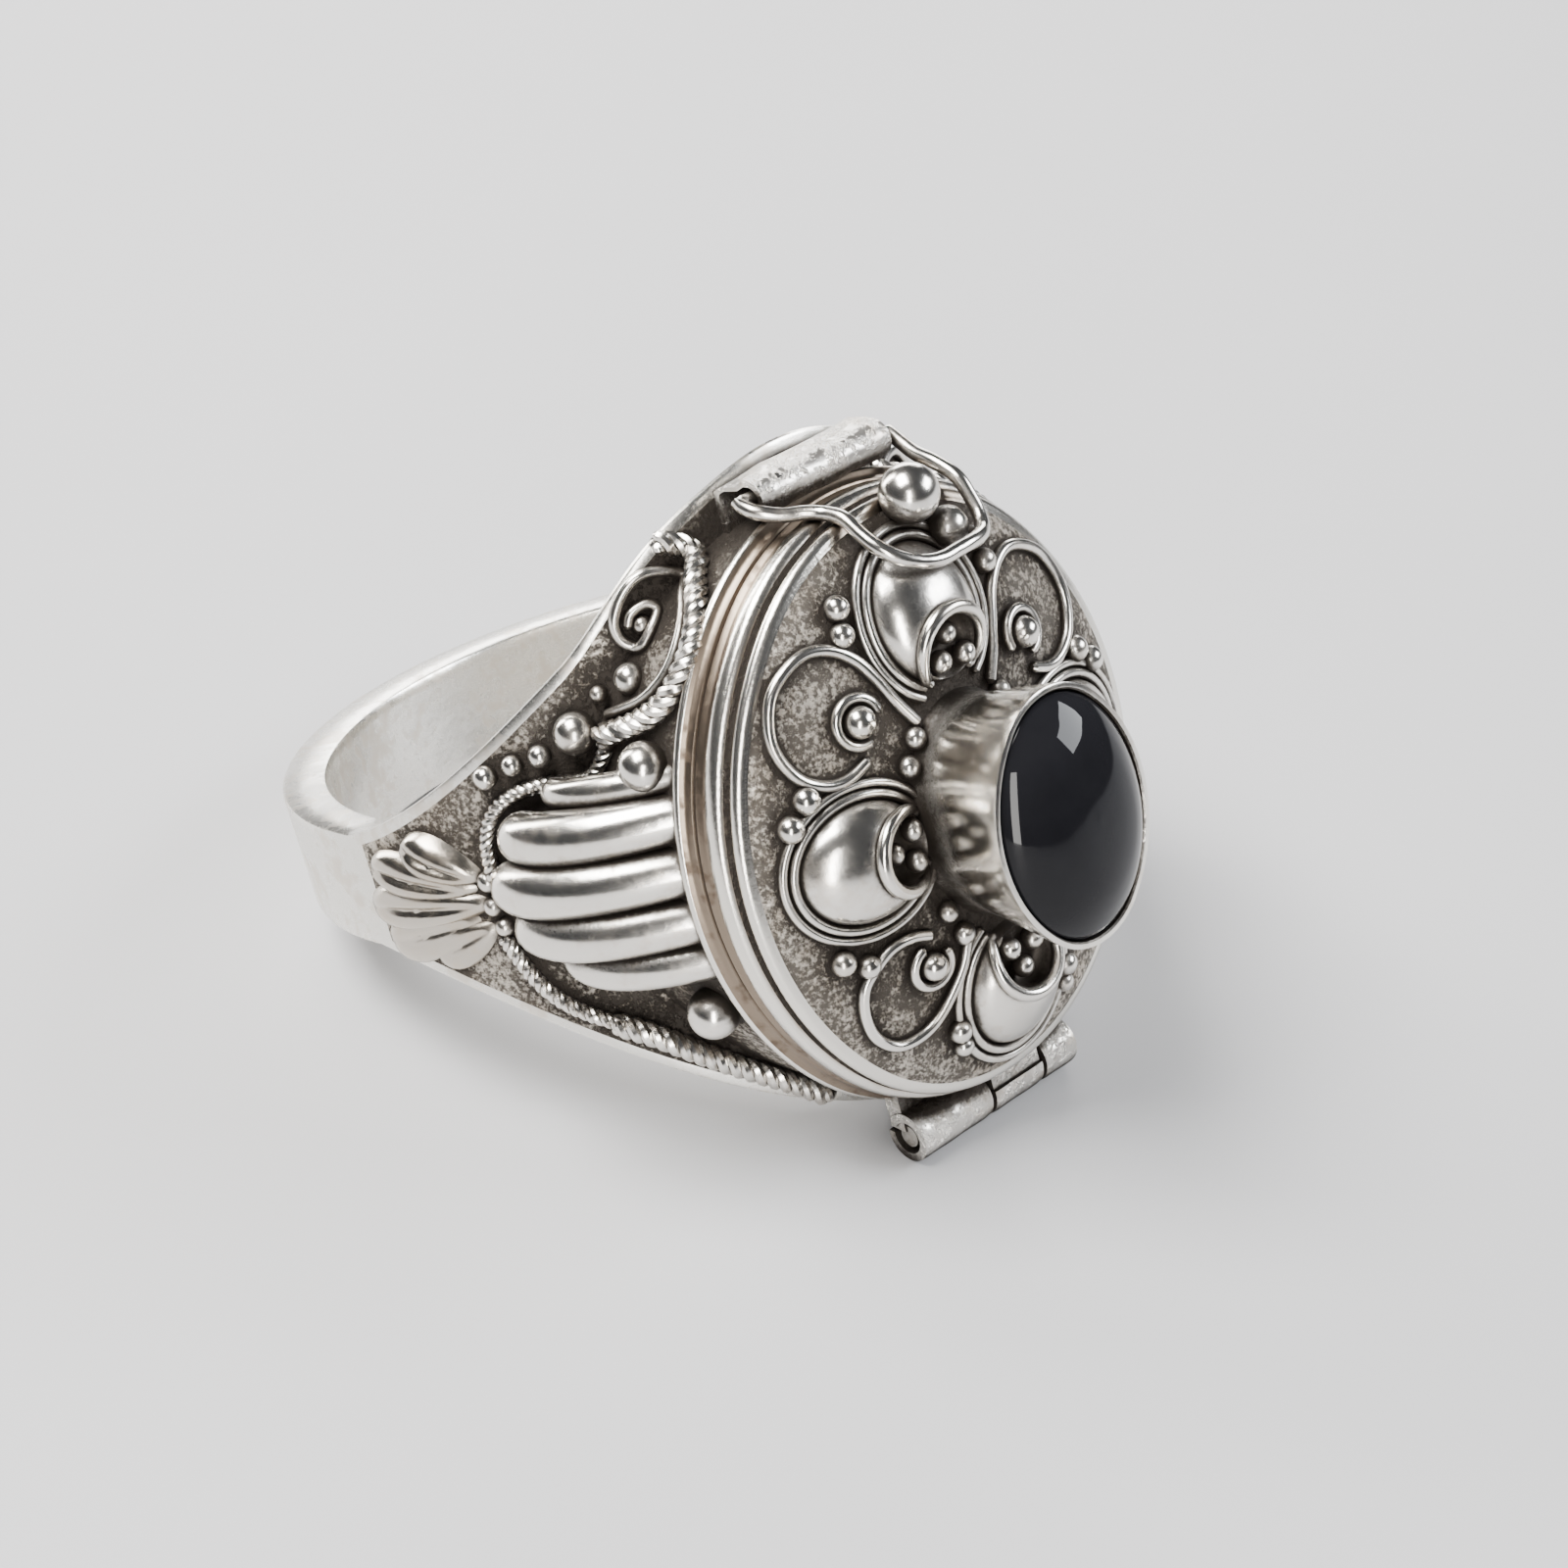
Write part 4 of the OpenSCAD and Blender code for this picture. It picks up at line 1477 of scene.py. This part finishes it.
@dataclass
class Collar(Piece):
    """The waisted collar that holds the stone."""

    title: ClassVar[str] = "collar"
    a: float = 3.77
    b: float = 2.87
    edge: float = 0.2
    seat: float = 0.95
    waist: float = 0.56
    flare: float = 0.14

    def draw(self, shape: Shape) -> None:
        """Draws the collar with a thin folded edge.

        Args:
            shape: Takes the surfaces.
        """
        outside = []
        for share in np.linspace(0, 1, 22):
            flare = self.flare * math.exp(-(share / 0.06) ** 2)
            waist = self.waist * math.cos(share * math.pi / 2) ** 1.3 - flare
            outside.append((waist + 0.03, M.dome_x - 0.15 + share * (M.collar_h + 0.1)))
        lip = [(inset, M.collar_x - drop) for inset, drop in (
            (0.03, 0.02), (0.08, 0), (self.edge - 0.03, 0), (self.edge + 0.02, 0.05),
            (self.edge + 0.05, self.seat), (2.6, self.seat))]
        shape.grid(M.sweep(self.a, self.b, [*outside, *lip], 28), Finish.BRIGHT, True, False)


@dataclass
class Stone(Piece):
    """The low-domed black stone."""

    title: ClassVar[str] = "stone_dome"
    a: float = 3.48
    b: float = 2.58
    height: float = 1.87
    sunk: float = 0.9
    # Columns: share of the half axes, share of the height
    outline: tuple[Pair, ...] = (
        (1.0, 0.0), (1.0, 0.40), (0.985, 0.47), (0.93, 0.56), (0.85, 0.66), (0.74, 0.77), (0.6, 0.87),
        (0.42, 0.945), (0.22, 0.985), (0.0, 1.0))

    def _ring(self, x: float, share: float) -> list[Point]:
        """An oval of the stone at a height, by its share of the half axes."""
        return [(x, self.b * share * math.cos(t), self.a * share * math.sin(t)) for t in full_turn(96)]

    def draw(self, shape: Shape) -> None:
        """Draws the stone with a flat back.

        Args:
            shape: Takes the surfaces.
        """
        foot = M.collar_x - self.sunk
        rows = [self._ring(foot, share) for share in (0.0, 0.96)]
        for share, rise, _ in smooth_path([(share, rise, 0.0) for share, rise in self.outline], 0.03):
            rows.append(self._ring(foot + rise * self.height, share))
        shape.grid(rows, Finish.STONE, False, True)


# Stage


@dataclass
class Stage:
    """Floor, lights and camera."""

    floor_z: float = -0.0055085
    floor_half: float = 1.6
    floor_cells: int = 20
    rise_from: float = 0.9
    rise: float = 0.35
    camera_at: Point = (0.0640, -0.0553, 0.0592)
    camera_way: Point = (-0.585, 0.563, -0.5835)
    lens: float = 76.5
    aim: Point = (0.004, 0.0, 0.001)
    # Columns: place, width, height, watts, colour
    lamps: tuple[tuple[Point, float, float, float, Colour], ...] = (
        ((-0.06, -0.10, 0.26), 0.20, 0.14, 2.6, (1.0, 0.985, 0.96)),
        ((0.22, -0.20, 0.10), 0.05, 0.22, 0.9, (1.0, 0.98, 0.95)),
        ((0.16, 0.20, 0.16), 0.18, 0.10, 1.2, (0.93, 0.96, 1.0)),
        ((-0.24, -0.06, 0.10), 0.06, 0.20, 0.8, (1.0, 0.97, 0.93)),
        ((-0.26, 0.24, 0.09), 0.26, 0.12, 1.1, (1.0, 0.985, 0.97)))
    world: Colour = (0.055, 0.057, 0.062)

    def build(self, finishes: Finishes) -> None:
        """Sets the stage.

        Args:
            finishes: The finishes.
        """
        self._floor(finishes)
        for i, lamp in enumerate(self.lamps):
            self._lamp(f"softbox_{i}", *lamp)
        self._sky()
        self._camera()

    def _floor(self, finishes: Finishes) -> None:
        """Adds the floor, which rises far behind the ring.

        Args:
            finishes: The finishes.
        """
        n = self.floor_cells
        ticks = np.linspace(-self.floor_half, self.floor_half, n + 1)
        points = [(x, y, self.floor_z + self.rise * max(0.0, math.hypot(x, y) - self.rise_from) ** 2)
                  for y in ticks for x in ticks]
        firsts = [i * (n + 1) + j for i in range(n) for j in range(n)]
        mesh = bpy.data.meshes.new("floor")
        mesh.from_pydata(points, [], [(k, k + 1, k + n + 2, k + n + 1) for k in firsts])
        mesh.shade_smooth()
        mesh.materials.append(finishes.get(Finish.FLOOR))
        floor = add_object("floor", mesh)
        floor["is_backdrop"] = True

    def _hold(self, name: str, data: bpy.types.ID, at: Point, way: Vector) -> bpy.types.Object:
        """Adds a lamp or camera that looks along a direction.

        Args:
            name: Its name.
            data: The light or camera.
            at: Its place.
            way: The direction.

        Returns:
            The object.
        """
        holder = add_object(name, data)
        holder.location = at
        holder.rotation_euler = way.to_track_quat("-Z", "Y").to_euler()
        return holder

    def _lamp(self, name: str, at: Point, width: float, height: float, watts: float, colour: Colour) -> None:
        """Adds a softbox that faces the ring.

        Args:
            name: Its name.
            at: Its place.
            width: Its width.
            height: Its height.
            watts: Its power.
            colour: Its colour.
        """
        lamp = bpy.data.lights.new(name, "AREA")
        lamp.shape = "RECTANGLE"
        lamp.size, lamp.size_y = width, height
        lamp.energy = watts
        lamp.color = colour
        self._hold(name, lamp, at, Vector(self.aim) - Vector(at))

    def _sky(self) -> None:
        """Sets an even grey surround."""
        world = bpy.data.worlds.new("studio")
        world.use_nodes = True
        world.node_tree.nodes["Background"].inputs[0].default_value = (*self.world, 1.0)
        bpy.context.scene.world = world

    def _camera(self) -> None:
        """Adds the camera at the photographed angle."""
        lens = bpy.data.cameras.new("camera")
        lens.lens = self.lens
        lens.sensor_width = 36.0
        lens.clip_start = 0.005
        bpy.context.scene.camera = self._hold("camera", lens, self.camera_at, Vector(self.camera_way))


# The whole ring


class Ring:
    """Builds each sub-assembly and hangs it on its body of the frame."""

    def __init__(self) -> None:
        """Prepares the finishes."""
        self.finishes = Finishes()

    def keep(self, part: Piece, body: str, node: str | None = None) -> None:
        """Builds a piece, hangs it on a body and reports it.

        Args:
            part: The piece.
            body: The body that carries it.
            node: A node of the frame that the piece stands for.
        """
        piece = part.build(self.finishes)
        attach(piece, body)
        if node:
            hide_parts(node)
        triangles = sum(len(face.vertices) - 2 for face in piece.data.polygons)
        log.info("%s: %d triangles on %s", piece.name, triangles, body)

    def build_body(self) -> None:
        """Builds the band, the box, the shoulders and the fixed half of the hinge and catch."""
        self.keep(Band(), "ring", node="ring_body")
        self.keep(Box(), "ring")
        for side in Side:
            for part in (Melon(side), ShoulderTrim(side), Leaf(side)):
                self.keep(part, "ring")
        self.keep(BoxKnuckles(), "ring")
        self.keep(CatchTab(), "ring")

    def build_lid(self) -> None:
        """Builds the lid with its ornament, collar, knuckle and stone."""
        self.keep(LidShell(), "lid", node="lid")
        for part in (LidOrnament(), Collar(), LidKnuckle()):
            self.keep(part, "lid")
        self.keep(Stone(), "lid", "stone")

    def build_bail(self) -> None:
        """Builds the bail."""
        self.keep(Bail(), "bail", node="latch_bail")

    def dress_frame(self) -> None:
        """Gives the nodes that stay in view their finish."""
        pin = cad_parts["hinge_pin"]
        pin.data.materials.clear()
        pin.data.materials.append(self.finishes.get(Finish.BRIGHT))
        log.info("hinge_pin: kept from the frame")


def corners() -> list[list[float]]:
    """The box of what is shown, as plain lists."""
    return [list(map(float, corner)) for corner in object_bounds()]


def main() -> None:
    """Builds the ring and its stage."""
    logging.basicConfig(level=logging.INFO, format="%(message)s")
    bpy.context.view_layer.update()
    ring = Ring()
    ring.build_body()
    ring.build_lid()
    ring.build_bail()
    ring.dress_frame()
    Stage().build(ring.finishes)
    bpy.context.view_layer.update()


if __name__ == "__main__":
    main()
